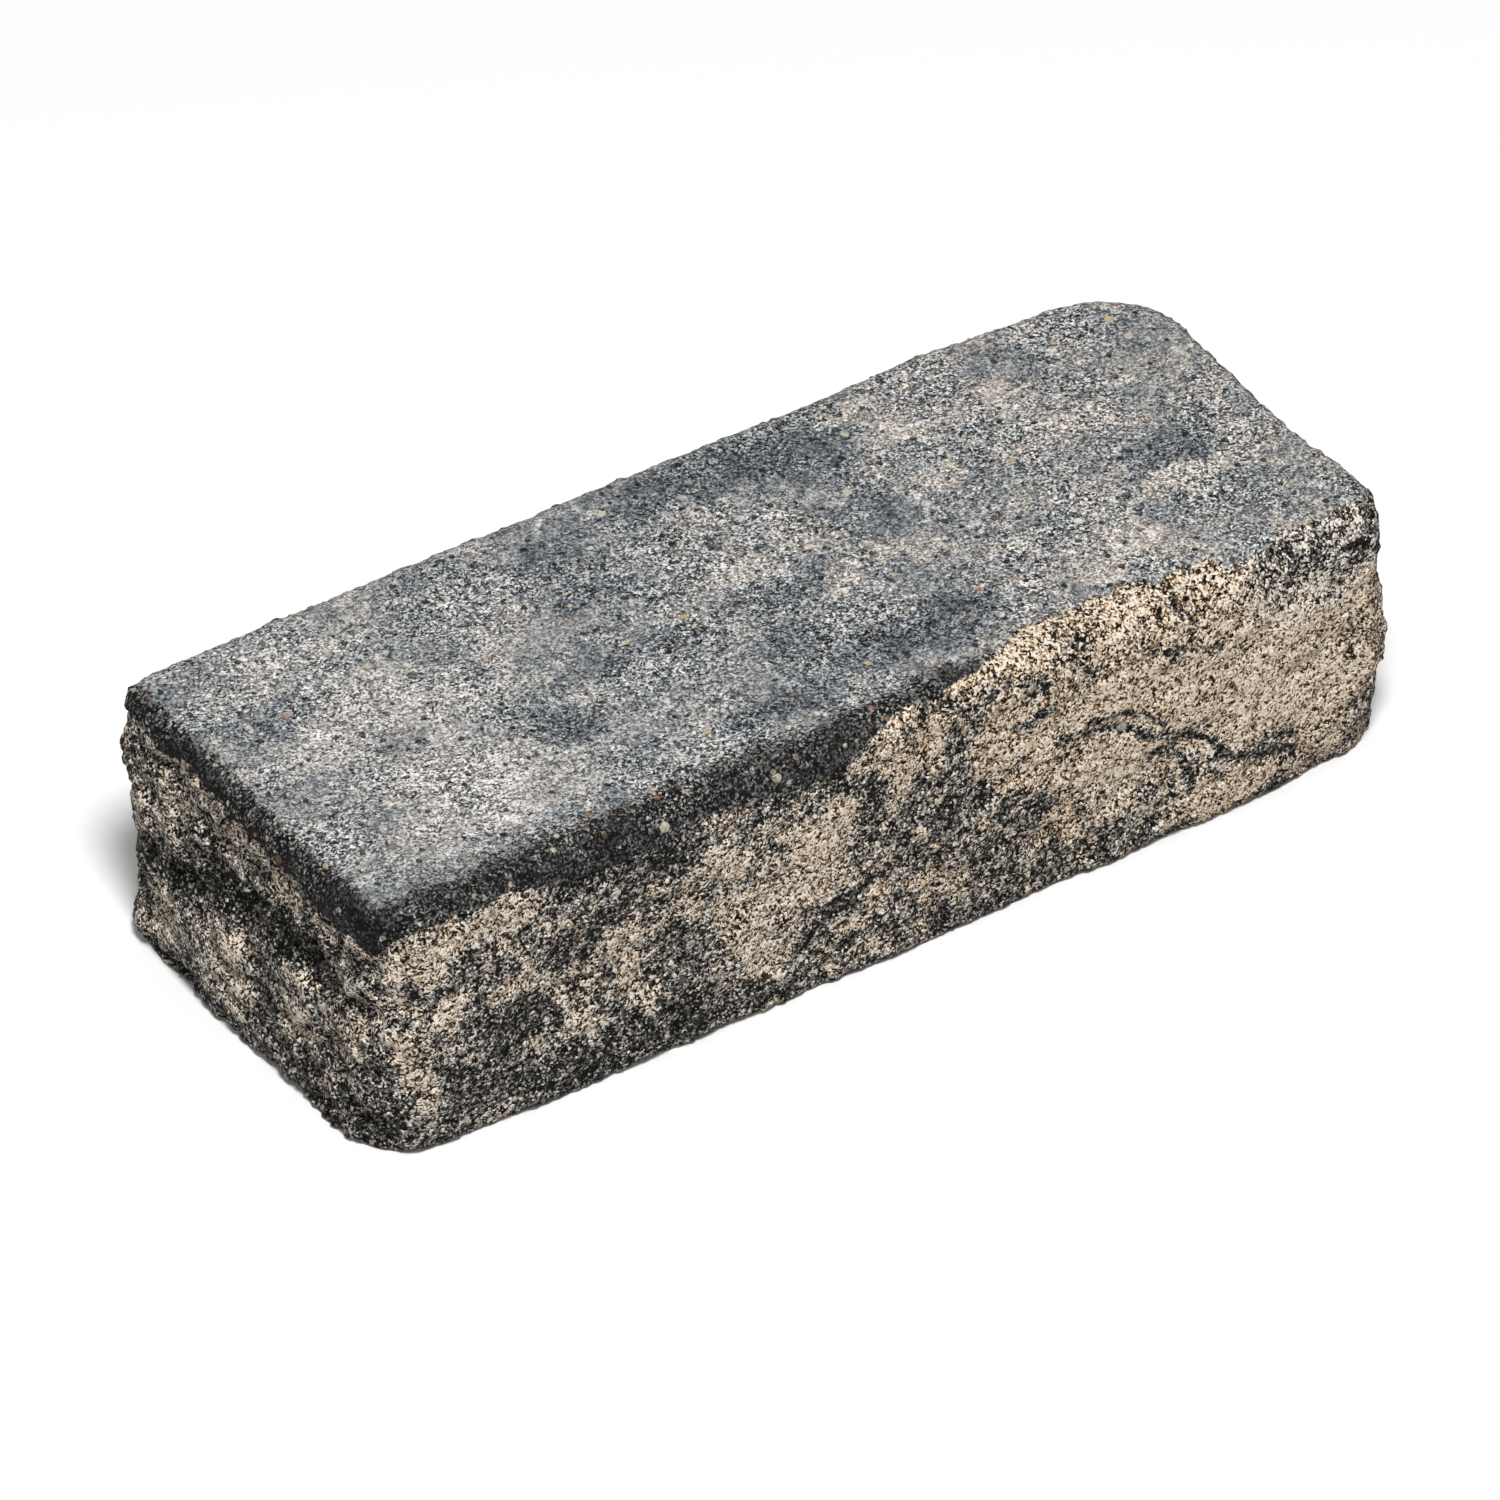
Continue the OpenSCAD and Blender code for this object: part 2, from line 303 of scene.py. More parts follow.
@dataclass(frozen=True)
class Lattice:
    """Random heights in space, the same on every run."""

    # Large numbers that scatter neighbouring cells over all 32-bit numbers
    cell_factors: ClassVar[tuple[int, int, int]] = (374761393, 668265263, 2147483647)
    seed_factor: ClassVar[int] = 144665
    mixing_factor: ClassVar[int] = 1274126177
    mixing_shifts: ClassVar[tuple[int, int]] = (13, 16)
    all_bits: ClassVar[int] = 0xFFFFFFFF
    # Each random number is ten bits long, cut out at these places
    part_bits: ClassVar[int] = 1023
    part_starts: ClassVar[tuple[int, int, int]] = (0, 10, 20)
    # A seed keeps this share of its cell clear on each side
    seed_margin: ClassVar[float] = 0.2
    # Gains and shifts that carry each form to about -1 to 1
    wave_gain: ClassVar[float] = 1.6
    ridge_gain: ClassVar[float] = 3.2
    lump_gain: ClassVar[float] = 2.6
    lump_shift: ClassVar[float] = 0.3
    facet_tilt: ClassVar[float] = 1.6
    facet_step: ClassVar[float] = 0.8

    pitch: float
    seed: int
    stretch: tuple[float, float, float] = (1.0, 1.0, 1.0)

    def _parts(self, cell: np.ndarray) -> np.ndarray:
        """Three random whole numbers of ten bits for each lattice cell."""
        mixed = self._hash(cell)
        return np.stack([(mixed >> start) & self.part_bits for start in self.part_starts], axis=1)

    def _hash(self, cell: np.ndarray) -> np.ndarray:
        """Random whole numbers, one for each lattice cell.

        Args:
            cell: Whole-number cells, as an array of rows of three.

        Returns:
            One whole number for each cell.
        """
        mixed = sum(cell[:, axis] * factor for axis, factor in enumerate(self.cell_factors))
        mixed = (mixed + self.seed * self.seed_factor) & self.all_bits
        first, last = self.mixing_shifts
        mixed = ((mixed ^ (mixed >> first)) * self.mixing_factor) & self.all_bits
        return mixed ^ (mixed >> last)

    def heights(self, points: np.ndarray) -> np.ndarray:
        """Smooth heights from about -1 to 1.

        Args:
            points: Places in space, as an array of rows of three.

        Returns:
            One height for each place.
        """
        scaled = points / (self.pitch * np.array(self.stretch))
        cell = np.floor(scaled).astype(np.int64)
        share = scaled - cell
        ease = share**3 * (share * (share * 6 - 15) + 10)
        total = np.zeros(len(points))
        for corner in product((0, 1), repeat=3):
            step = np.array(corner)
            slope = self._parts(cell + step) / (self.part_bits / 2) - 1
            weight = np.prod(np.where(step == 1, ease, 1 - ease), axis=1)
            total += weight * np.sum(slope * (share - step), axis=1)
        return total * self.wave_gain

    def ridges(self, points: np.ndarray) -> np.ndarray:
        """Heights with sharp crests and round hollows, from about -1 to 1."""
        return 1 - self.ridge_gain * np.abs(self.heights(points))

    def _seeds(self, points: np.ndarray) -> Iterator[tuple[np.ndarray, np.ndarray]]:
        """Goes through the scattered seeds near each place, one neighbour cell at a time.

        Args:
            points: Places in space, as an array of rows of three.

        Returns:
            For each neighbour cell, the way from its seed to each place, in pitches, and three
            random numbers of the seed.
        """
        scaled = points / (self.pitch * np.array(self.stretch))
        cell = np.floor(scaled - 0.5).astype(np.int64)
        for corner in product((0, 1), repeat=3):
            parts = self._parts(cell + np.array(corner)) / self.part_bits
            place = self.seed_margin + (1 - 2 * self.seed_margin) * parts
            yield scaled - cell - corner - place, parts[:, ::-1]

    def lumps(self, points: np.ndarray) -> np.ndarray:
        """Round lumps with sharp creases between them, from about -1 to 1.

        Args:
            points: Places in space, as an array of rows of three.

        Returns:
            One height for each place.
        """
        best = np.full(len(points), -np.inf)
        for way, parts in self._seeds(points):
            best = np.maximum(best, 0.5 * parts[:, 0] - np.sum(way**2, axis=1))
        return self.lump_gain * best - self.lump_shift

    def shards(self, points: np.ndarray) -> np.ndarray:
        """Flat facets that tilt every way, with small steps between them, from about -1 to 1.

        Args:
            points: Places in space, as an array of rows of three.

        Returns:
            One height for each place.
        """
        least = np.full(len(points), np.inf)
        height = np.zeros(len(points))
        for way, parts in self._seeds(points):
            far = np.sum(way**2, axis=1)
            tilted = self.facet_tilt * np.sum(way * (2 * parts - 1), axis=1)
            tilted = tilted + self.facet_step * (parts[:, 0] - 0.5)
            height = np.where(far < least, tilted, height)
            least = np.minimum(far, least)
        return height


class Form(Enum):
    """The forms that random heights can take."""

    WAVES = "waves"
    RIDGES = "ridges"
    LUMPS = "lumps"
    SHARDS = "shards"


@dataclass(frozen=True)
class Layer:
    """Random heights of one form, at one pitch and weight."""

    form: Form
    weight: float
    pitch: float
    seed: int
    stretch: tuple[float, float, float] = (1.0, 1.0, 1.0)

    def heights(self, points: np.ndarray) -> np.ndarray:
        """Weighed heights of the layer.

        Args:
            points: Places in space, as an array of rows of three.

        Returns:
            One height for each place.
        """
        lattice = Lattice(self.pitch, self.seed, self.stretch)
        forms = {Form.WAVES: lattice.heights, Form.RIDGES: lattice.ridges,
                 Form.LUMPS: lattice.lumps, Form.SHARDS: lattice.shards}
        return self.weight * forms[self.form](points)


def stacked(layers: tuple[Layer, ...], points: np.ndarray) -> np.ndarray:
    """The heights of several layers added up, one for each place."""
    return sum(layer.heights(points) for layer in layers)


def bell(far: np.ndarray) -> np.ndarray:
    """A round hump: 1 at no distance, 0 from a distance of 1 on."""
    return np.clip(1 - far * far, 0, 1) ** 2


def ease_step(value: np.ndarray, low: float, high: float) -> np.ndarray:
    """A soft step from 0 at low to 1 at high."""
    share = np.clip((value - low) / (high - low), 0, 1)
    return share * share * (3 - 2 * share)


@dataclass(frozen=True)
class ChipKind:
    """One kind of chip: how many there are, their reach in millimetres, and depth over reach."""

    count: int
    least: float
    most: float
    steepness: float


@dataclass
class RoughRelief:
    """The relief of split and tumbled concrete, as heights along the skin's own normals."""

    front_height: float = 0.62 * MM
    back_height: float = 0.7 * MM
    left_height: float = 1.7 * MM
    right_height: float = 1.1 * MM
    bed_height: float = 0.12 * MM
    grit_height: float = 0.4 * MM
    lip_height: float = 0.6 * MM
    ledge_pitch: float = 13 * MM
    ledge_height: float = 2.6 * MM
    ledge_rise: float = 0.28
    right_ledges: float = 0.6
    seed: int = 4
    # Upright share of a normal where a side starts to be a bed, and where it is all bed
    bed_starts: float = 0.35
    bed_full: float = 0.9
    # Share of the relief that the moulded skin hides, and of the chips that a bed does
    moulded_cover: float = 0.85
    bed_cover: float = 0.85
    bed_cover_starts: float = 0.6
    # How far the sides and ends are moved out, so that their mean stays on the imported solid
    side_rise: float = 0.25
    end_rise: float = 0.15
    # Drop from the upper bed where the lip under the arris starts, and where it is full
    lip_starts: float = 30 * MM
    lip_full: float = 8 * MM
    # Roughness of the arris: everywhere, and on top of that along the back and the right
    arris_gain: float = 0.2
    rear_arris_gain: float = 2.6
    bed_sink: float = 1.2
    bed_grit: float = 0.8
    split_layers: tuple[Layer, ...] = (
        Layer(Form.SHARDS, 0.9, 15 * MM, 31, (1.4, 1.4, 1.0)),
        Layer(Form.LUMPS, 0.8, 8 * MM, 32),
        Layer(Form.LUMPS, 0.5, 4.2 * MM, 33),
        Layer(Form.RIDGES, 0.5, 18 * MM, 34, (1.5, 1.5, 1.0)),
    )
    torn_layers: tuple[Layer, ...] = (
        Layer(Form.SHARDS, 1.1, 17 * MM, 47, (1.0, 1.7, 1.0)),
        Layer(Form.SHARDS, 0.65, 9 * MM, 48, (1.0, 1.7, 1.0)),
        Layer(Form.LUMPS, 0.8, 14 * MM, 52),
        Layer(Form.LUMPS, 0.55, 7 * MM, 49),
        Layer(Form.LUMPS, 0.35, 4 * MM, 50),
        Layer(Form.RIDGES, 0.6, 17 * MM, 51, (1.0, 1.7, 1.0)),
    )
    ledge_wander: tuple[Layer, ...] = (
        Layer(Form.WAVES, 1.1, 24 * MM, 57),
        Layer(Form.WAVES, 0.35, 9 * MM, 58),
    )
    ledge_gaps: Layer = Layer(Form.WAVES, 1.0, 16 * MM, 59)
    ledge_gap_edge: float = 0.35
    crumbs: Layer = Layer(Form.WAVES, 2.2, 3.6 * MM, 63)
    crumb_shift: float = 0.6
    grains: Layer = Layer(Form.WAVES, 0.8, 2.6 * MM, 61)
    arris_lumps: Layer = Layer(Form.LUMPS, 1.2, 6 * MM, 67)
    bed_waves: tuple[Layer, ...] = (
        Layer(Form.WAVES, 1.0, 30 * MM, 71),
        Layer(Form.WAVES, 0.6, 9 * MM, 73),
    )
    # Bands along the arrises where chips are knocked out
    top_band: float = 9 * MM
    foot_band: float = 5 * MM
    corner_band: float = 16 * MM
    rim_band: float = 12 * MM
    rim_chips: ChipKind = ChipKind(110, 2.0, 5.5, 0.22)
    foot_chips: ChipKind = ChipKind(90, 2.0, 5.0, 0.25)
    corner_chips: ChipKind = ChipKind(60, 2.5, 6.0, 0.22)
    face_pits: ChipKind = ChipKind(420, 1.8, 3.6, 0.36)

    def weights(self, normals: np.ndarray) -> dict[Side, np.ndarray]:
        """How far each place belongs to the front, back, left and right, and to the beds.

        Args:
            normals: Outward normals, as an array of rows of three.

        Returns:
            The shares by side, which add up to about 1 at each place.
        """
        level = ease_step(np.abs(normals[:, 2]), self.bed_starts, self.bed_full)
        squares = normals**2
        flat = squares[:, 0] + squares[:, 1] + TINY
        return {
            Side.FRONT: (1 - level) * np.where(normals[:, 1] < 0, squares[:, 1], 0) / flat,
            Side.BACK: (1 - level) * np.where(normals[:, 1] > 0, squares[:, 1], 0) / flat,
            Side.LEFT: (1 - level) * np.where(normals[:, 0] < 0, squares[:, 0], 0) / flat,
            Side.RIGHT: (1 - level) * np.where(normals[:, 0] > 0, squares[:, 0], 0) / flat,
            Side.BED: level,
        }

    def _ledges(self, points: np.ndarray) -> np.ndarray:
        """Broken steps, each standing out further towards its upper edge, that rise to the front.

        Args:
            points: Places in space, as an array of rows of three.

        Returns:
            One height for each place, from about -0.5 to 0.5.
        """
        wander = stacked(self.ledge_wander, points)
        phase = (points[:, 2] + self.ledge_rise * points[:, 1]) / self.ledge_pitch + wander
        patchy = ease_step(self.ledge_gaps.heights(points), -self.ledge_gap_edge, self.ledge_gap_edge)
        return (phase - np.floor(phase) - 0.5) * patchy

    def _chips(self, points: np.ndarray, low: np.ndarray, high: np.ndarray) -> np.ndarray:
        """Depth of the chips knocked out of the arrises, the corners and the faces.

        Args:
            points: Places on the skin.
            low: Lowest corner of the block.
            high: Highest corner of the block.

        Returns:
            The depth of the chips at each place.
        """
        rng = np.random.default_rng(self.seed)
        top = points[points[:, 2] > high[2] - self.top_band]
        foot = points[points[:, 2] < low[2] + self.foot_band]
        edge_x = np.minimum(points[:, 0] - low[0], high[0] - points[:, 0])
        edge_y = np.minimum(points[:, 1] - low[1], high[1] - points[:, 1])
        corner = points[(edge_x < self.corner_band) & (edge_y < self.corner_band)]
        rim = top[(np.minimum(top[:, 0] - low[0], high[0] - top[:, 0]) < self.rim_band)
                  | (np.minimum(top[:, 1] - low[1], high[1] - top[:, 1]) < self.rim_band)]
        depth = np.zeros(len(points))
        kinds = ((rim, self.rim_chips), (foot, self.foot_chips), (corner, self.corner_chips),
                 (points, self.face_pits))
        for pool, kind in kinds:
            for place in pool[rng.integers(0, len(pool), kind.count)]:
                reach = rng.uniform(kind.least, kind.most) * MM
                depth += kind.steepness * reach * bell(np.linalg.norm(points - place, axis=1) / reach)
        return depth

    def heights(self, points: np.ndarray, normals: np.ndarray, moulded: np.ndarray, low: np.ndarray,
                high: np.ndarray) -> np.ndarray:
        """How far each place stands out from the smooth skin.

        Args:
            points: Places on the smooth skin.
            normals: The skin's normals there.
            moulded: Share of smooth moulded skin, against torn concrete.
            low: Lowest corner of the block.
            high: Highest corner of the block.

        Returns:
            The height at each place, below zero where the skin is hollow.
        """
        share = self.weights(normals)
        bed = share[Side.BED]
        torn = 1 - self.moulded_cover * moulded
        sides = share[Side.FRONT] * self.front_height + share[Side.BACK] * self.back_height
        ends = share[Side.LEFT] * self.left_height + share[Side.RIGHT] * self.right_height
        height = sides * stacked(self.split_layers, points) + ends * stacked(self.torn_layers, points)
        ledged = share[Side.LEFT] + self.right_ledges * share[Side.RIGHT]
        height += ledged * self.ledge_height * self._ledges(points)
        crest = ease_step(points[:, 2], high[2] - self.lip_starts, high[2] - self.lip_full)
        height += self.side_rise * sides + self.end_rise * ends - (1 - moulded) * crest * self.lip_height
        crumbs = np.abs(self.crumbs.heights(points)) - self.crumb_shift
        grit = self.grains.heights(points) + crumbs
        height = torn * (height + (1 - bed) * self.grit_height * grit)
        steep = normals[:, 2] ** 2
        arris = (4 * steep * (1 - steep)) ** 2
        gain = self.arris_gain + self.rear_arris_gain * (share[Side.BACK] + share[Side.RIGHT])
        height += arris * gain * self.grit_height * (grit + self.arris_lumps.heights(points))
        wave = stacked(self.bed_waves, points)
        height += bed * self.bed_height * (wave + self.bed_grit * grit - self.bed_sink)
        covered = self.bed_cover * ease_step(bed, self.bed_cover_starts, 1)
        return height - self._chips(points, low, high) * (1 - covered)


@dataclass(frozen=True)
class Tones:
    """Where the cream and charcoal pigments, the moulded skin and the charcoal crust lie.

    Distances are in millimetres. A cream share is its level, the gain of the random clouds and
    the gain of the face's own patches.
    """

    front_cream: tuple[float, float, float] = (0.49, 0.46, 1.38)
    left_cream: tuple[float, float, float] = (0.4, 0.3, 1.5)
    left_flecks: float = 0.35
    hidden_cream: tuple[float, float] = (0.58, 0.55)
    upper_cream: tuple[float, float, float] = (0.48, 0.36, 3.4)
    lower_cream: tuple[float, float] = (0.4, 0.2)
    clouds: tuple[Layer, ...] = (
        Layer(Form.WAVES, 0.5, 34 * MM, 81),
        Layer(Form.WAVES, 0.6, 17 * MM, 82),
    )
    flecks: tuple[Layer, ...] = (
        Layer(Form.WAVES, 0.6, 8.5 * MM, 83),
        Layer(Form.WAVES, 0.5, 4.3 * MM, 84),
    )
    # How far the patches' own places stray, along and up
    strays: tuple[tuple[Layer, ...], ...] = (
        (Layer(Form.WAVES, 4.5, 15 * MM, 85), Layer(Form.WAVES, 5.0, 6.5 * MM, 95)),
        (Layer(Form.WAVES, 4.5, 15 * MM, 86), Layer(Form.WAVES, 5.0, 6.5 * MM, 96)),
    )
    vein_stray: float = 0.3
    # Charcoal foot of the back and the right end
    foot_top: tuple[float, float] = (8, 26)
    foot_stray: float = 6
    foot_depth: float = 0.25
    # Broken stretch of the front arris, which loses cream and breadth at its right
    broken_band: float = 25
    broken_right: tuple[float, float] = (128, 150)
    broken_cream: tuple[float, float, float] = (0.95, 0.3, 0.6)
    broken_fall: float = 0.35
    # Relief above which the sides and the ends get no painted shade, and the span over which the painted
    # shade in hollows deepens
    proud_sides: float = 0.95
    proud_ends: float = 1.65
    hollow_shade_span: float = 1.6
    deepest_hollow_shade: float = 1.3
    # Warmth of the front: at its left, what it gains to its right, and how grey it may get
    blush: float = 0.7
    blush_rise: float = 0.5
    blush_from: tuple[float, float] = (-100, 110)
    blush_cloud: float = 0.1
    most_grey: float = 0.85
    # Ragged end of the moulded skin
    ragged: tuple[Layer, ...] = (
        Layer(Form.WAVES, 2.0, 11 * MM, 88),
        Layer(Form.WAVES, 1.8, 4.5 * MM, 89),
    )
    skin_edge: float = 0.8
    back_break: float = -5
    right_break: float = -3
    # Charcoal crust: where it fades in from each arris, and where it ends along the front
    fringe: Layer = Layer(Form.WAVES, 1.5, 8 * MM, 90)
    front_crust: tuple[float, float] = (5, 21)
    front_crust_end: tuple[float, float] = (15, 75)
    end_stray: float = 3
    left_crust: tuple[float, float] = (1, 12)
    rear_crust: tuple[float, float] = (0, 7)
    rear_share: float = 0.5
    # How much thinner the crust lies below the front arris
    front_thinning: float = 0.28


@dataclass
class BlockSkin:
    """The block's skin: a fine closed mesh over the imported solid, with its relief and its tones."""

    solid: bpy.types.Object
    relief: RoughRelief
    tones: Tones
    name: str = "tumbled_concrete_block"
    cell: float = 1.37 * MM
    top_cell: float = 2.4 * MM
    bed_cell: float = 6 * MM
    core_inset: float = 30 * MM
    core_corner: float = 4 * MM
    top_wrap: float = 24 * MM
    bed_wrap: float = 14 * MM
    lower_fan: float = 12 * MM
    smoothing_passes: int = 8
    hidden_bed_scale: float = 0.7
    chart_gap: float = 4 * MM
    row_step: float = 0.87
    scatter: float = 0.2
    ring_clearance: float = 0.8
    most_clearance: float = 2 * MM
    least_room: float = 0.02 * MM
    wholly_under: float = 0.99
    seed: int = 9

    def __post_init__(self) -> None:
        """Takes the block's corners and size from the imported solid."""
        low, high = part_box("block")
        self.low, self.high = np.array(low), np.array(high)
        self.half = (self.high - self.low) / 2
        self.middle = (self.high + self.low) / 2
        self.rng = np.random.default_rng(self.seed)

    def _plan(self) -> tuple[np.ndarray, np.ndarray, np.ndarray]:
        """Walks round the plan of the core, from the middle of the front left corner.

        Returns:
            The places on the core line, the outward directions there, and the number of the
            side that each place belongs to: 0 front, 1 right, 2 back, 3 left.
        """
        reach = self.half[:2] - self.core_inset - self.core_corner
        turn_count = round(math.pi / 2 * (self.core_inset + self.core_corner) / self.cell)
        places, directions, sides = [], [], []
        signs = ((-1, -1), (1, -1), (1, 1), (-1, 1))
        for side, (sign, after) in enumerate(zip(signs, signs[1:] + signs[:1])):
            centre = self.middle[:2] + reach * sign
            for step in range(turn_count):
                angle = math.radians(180 + 90 * (side + step / turn_count))
                out = np.array((math.cos(angle), math.sin(angle)))
                places.append(centre + self.core_corner * out)
                directions.append(out)
                sides.append(side if step >= turn_count // 2 else (side - 1) % 4)
            angle = math.radians(270 + 90 * side)
            out = np.round((math.cos(angle), math.sin(angle)))
            start = centre + self.core_corner * out
            end = self.middle[:2] + reach * after + self.core_corner * out
            count = round(np.linalg.norm(end - start) / self.cell)
            for step in range(count):
                places.append(start + (end - start) * step / count)
                directions.append(out)
                sides.append(side)
        shift = -(turn_count // 2)
        return (np.roll(places, shift, axis=0), np.roll(directions, shift, axis=0),
                np.roll(sides, shift))

    def _profile(self) -> np.ndarray:
        """The section's path, from under the lower bed up the face and in over the upper bed.

        Returns:
            Rows of the distance out from the core and the height above the lower bed.
        """
        height = 2 * self.half[2]
        corners = np.array((
            (self.core_inset - self.bed_wrap, 0.0),
            (self.core_inset, 0.0),
            (self.core_inset, height),
            (self.core_inset - self.top_wrap, height),
        ))
        lengths = np.linalg.norm(np.diff(corners, axis=0), axis=1)
        along = np.concatenate(((0,), np.cumsum(lengths)))
        samples = np.linspace(0, along[-1], round(along[-1] / self.cell) + 1)
        return np.stack([np.interp(samples, along, corners[:, axis]) for axis in (0, 1)], axis=1)

    def _cast(self) -> tuple[np.ndarray, np.ndarray]:
        """Throws a ray from the core to each cell corner and takes where it leaves the solid.

        Returns:
            The grid of places, by row and station, and the side of each station.
        """
        mesh = self.solid.data
        tree = BVHTree.FromPolygons([v.co for v in mesh.vertices], [p.vertices for p in mesh.polygons])
        places, directions, sides = self._plan()
        profile = self._profile()
        grid = np.empty((len(profile), len(places), 3))
        top_fan = 2 * self.half[2] - self.core_inset
        for row, (out, height) in enumerate(profile):
            start_height = min(max(height, self.lower_fan), top_fan)
            for station, (place, direction) in enumerate(zip(places, directions)):
                start = Vector((*place, self.low[2] + start_height))
                ray = Vector((*(direction * out), height - start_height)).normalized()
                hit = tree.ray_cast(start, ray)[0]
                grid[row, station] = hit if hit else start + ray * out
        return grid, sides

    def _smooth(self, grid: np.ndarray) -> np.ndarray:
        """Rounds off the solid's facets, with the first and last rows held.

        Args:
            grid: The grid of places, by row and station. It is changed.

        Returns:
            The same grid.
        """
        for _ in range(self.smoothing_passes):
            around = (np.roll(grid, 1, axis=1) + np.roll(grid, -1, axis=1)) / 2
            upright = (grid[2:] + grid[:-2]) / 2
            grid[1:-1] = (2 * grid[1:-1] + around[1:-1] + upright) / 4
        return grid

    @staticmethod
    def _normals(grid: np.ndarray) -> np.ndarray:
        """Outward normals of the grid.

        Args:
            grid: The grid of places, by row and station.

        Returns:
            The normals, by row and station.
        """
        along = np.roll(grid, -1, axis=1) - np.roll(grid, 1, axis=1)
        up = np.gradient(grid, axis=0)
        normals = np.cross(along, up)
        return normals / np.linalg.norm(normals, axis=2, keepdims=True)

    def _inside(self, cell: float, line: float) -> np.ndarray:
        """Spreads places over a bed, clear of the ring that bounds it.

        Args:
            cell: Distance between the places.
            line: Distance from the core line out to the ring.

        Returns:
            The places in plan.
        """
        rows = int(2 * self.half[1] / (cell * self.row_step)) + 1
        columns = int(2 * self.half[0] / cell) + 1
        row, column = np.mgrid[0:rows, 0:columns]
        x = self.low[0] + (column + 0.5 * (row % 2)) * cell
        y = self.low[1] + row * cell * self.row_step
        spots = np.stack([x.ravel(), y.ravel()], axis=1)
        spots += self.rng.uniform(-self.scatter, self.scatter, spots.shape) * cell
        reach = self.half[:2] - self.core_inset - self.core_corner
        beyond = np.maximum(np.abs(spots - self.middle[:2]) - reach, 0)
        clear = line - self.ring_clearance * min(cell, self.most_clearance)
        return spots[np.linalg.norm(beyond, axis=1) - self.core_corner < clear]

    @staticmethod
    def _cap(ring: np.ndarray, spots: np.ndarray, ring_start: int, spot_start: int,
             upward: bool) -> list[tuple[int, ...]]:
        """Joins a ring and the places inside it with triangles.

        Args:
            ring: Places of the ring in plan.
            spots: Places inside the ring in plan.
            ring_start: The mesh's number for the ring's first place.
            spot_start: The mesh's number for the first place inside.
            upward: Whether the triangles face up.

        Returns:
            The triangles, as the mesh's own vertex numbers.
        """
        count = len(ring)
        plan = [Vector(p) for p in np.concatenate((ring, spots))]
        _, _, triangles, sources, _, _ = delaunay_2d_cdt(plan, [], [list(range(count))], 1, JOIN_GAP)
        number = [source[0] + (ring_start if source[0] < count else spot_start - count)
                  for source in sources]
        faces = []
        for triangle in triangles:
            a, b, c = (plan[sources[i][0]] for i in triangle)
            left_turn = (b - a).cross(c - a) > 0
            corners = tuple(number[i] for i in triangle)
            faces.append(corners if left_turn == upward else corners[::-1])
        return faces

    def _held_in(self, points: np.ndarray, normals: np.ndarray, height: np.ndarray) -> np.ndarray:
        """Eases the relief so that no hump leaves the block's box.

        Args:
            points: Places on the smooth skin.
            normals: Normals there.
            height: Wanted relief.

        Returns:
            The relief that fits.
        """
        bound = np.where(normals > 0, self.high, self.low)
        steep = np.where(np.abs(normals) < LEAST_SLOPE, LEAST_SLOPE, normals)
        room = np.maximum(np.min((bound - points) / steep, axis=1), self.least_room)
        return np.where(height > 0, room * (1 - np.exp(-height / room)), height)

    def _paths(self, points: np.ndarray) -> dict[Side, np.ndarray]:
        """Each side's path in over the upper bed, in millimetres: 0 at the arris, below 0 down the face.

        Args:
            points: Places on the skin.

        Returns:
            The path of each place, by side.
        """
        x, y, z = (points / MM).T
        high, low = self.high / MM, self.low / MM
        drop = high[2] - z
        return {Side.FRONT: y - low[1] - drop, Side.LEFT: x - low[0] - drop,
                Side.BACK: high[1] - y - drop, Side.RIGHT: high[0] - x - drop}

    def _moulded(self, points: np.ndarray) -> np.ndarray:
        """Share of moulded skin at each place: 1 on the upper bed, 0 where the block is torn.

        Args:
            points: Places on the skin.

        Returns:
            The share at each place.
        """
        tones = self.tones
        x, y, _ = (points / MM).T
        ragged = stacked(tones.ragged, points)
        edges = {Side.FRONT: np.interp(x + ragged, *np.transpose(FRONT_BREAK)),
                 Side.LEFT: np.interp(y, *np.transpose(LEFT_BREAK)),
                 Side.BACK: tones.back_break, Side.RIGHT: tones.right_break}
        moulded = np.ones(len(points))
        for side, path in self._paths(points).items():
            moulded *= ease_step(path + ragged - edges[side], -tones.skin_edge, tones.skin_edge)
        return moulded

    def _crust(self, points: np.ndarray) -> np.ndarray:
        """Share of charcoal crust that runs round the arris, over the moulded skin.

        Args:
            points: Places on the skin.

        Returns:
            The share at each place.
        """
        tones = self.tones
        x = points[:, 0] / MM
        paths = self._paths(points)
        ragged = stacked(tones.ragged, points)
        fringe = ragged + tones.fringe.heights(points)
        front = 1 - ease_step(paths[Side.FRONT] + fringe, *tones.front_crust)
        front *= 1 - ease_step(x + tones.end_stray * ragged, *tones.front_crust_end)
        left = 1 - ease_step(paths[Side.LEFT] + fringe, *tones.left_crust)
        nearest = np.minimum(paths[Side.BACK], paths[Side.RIGHT])
        rear = tones.rear_share * (1 - ease_step(nearest + fringe, *tones.rear_crust))
        return np.maximum(np.maximum(front, left), rear)

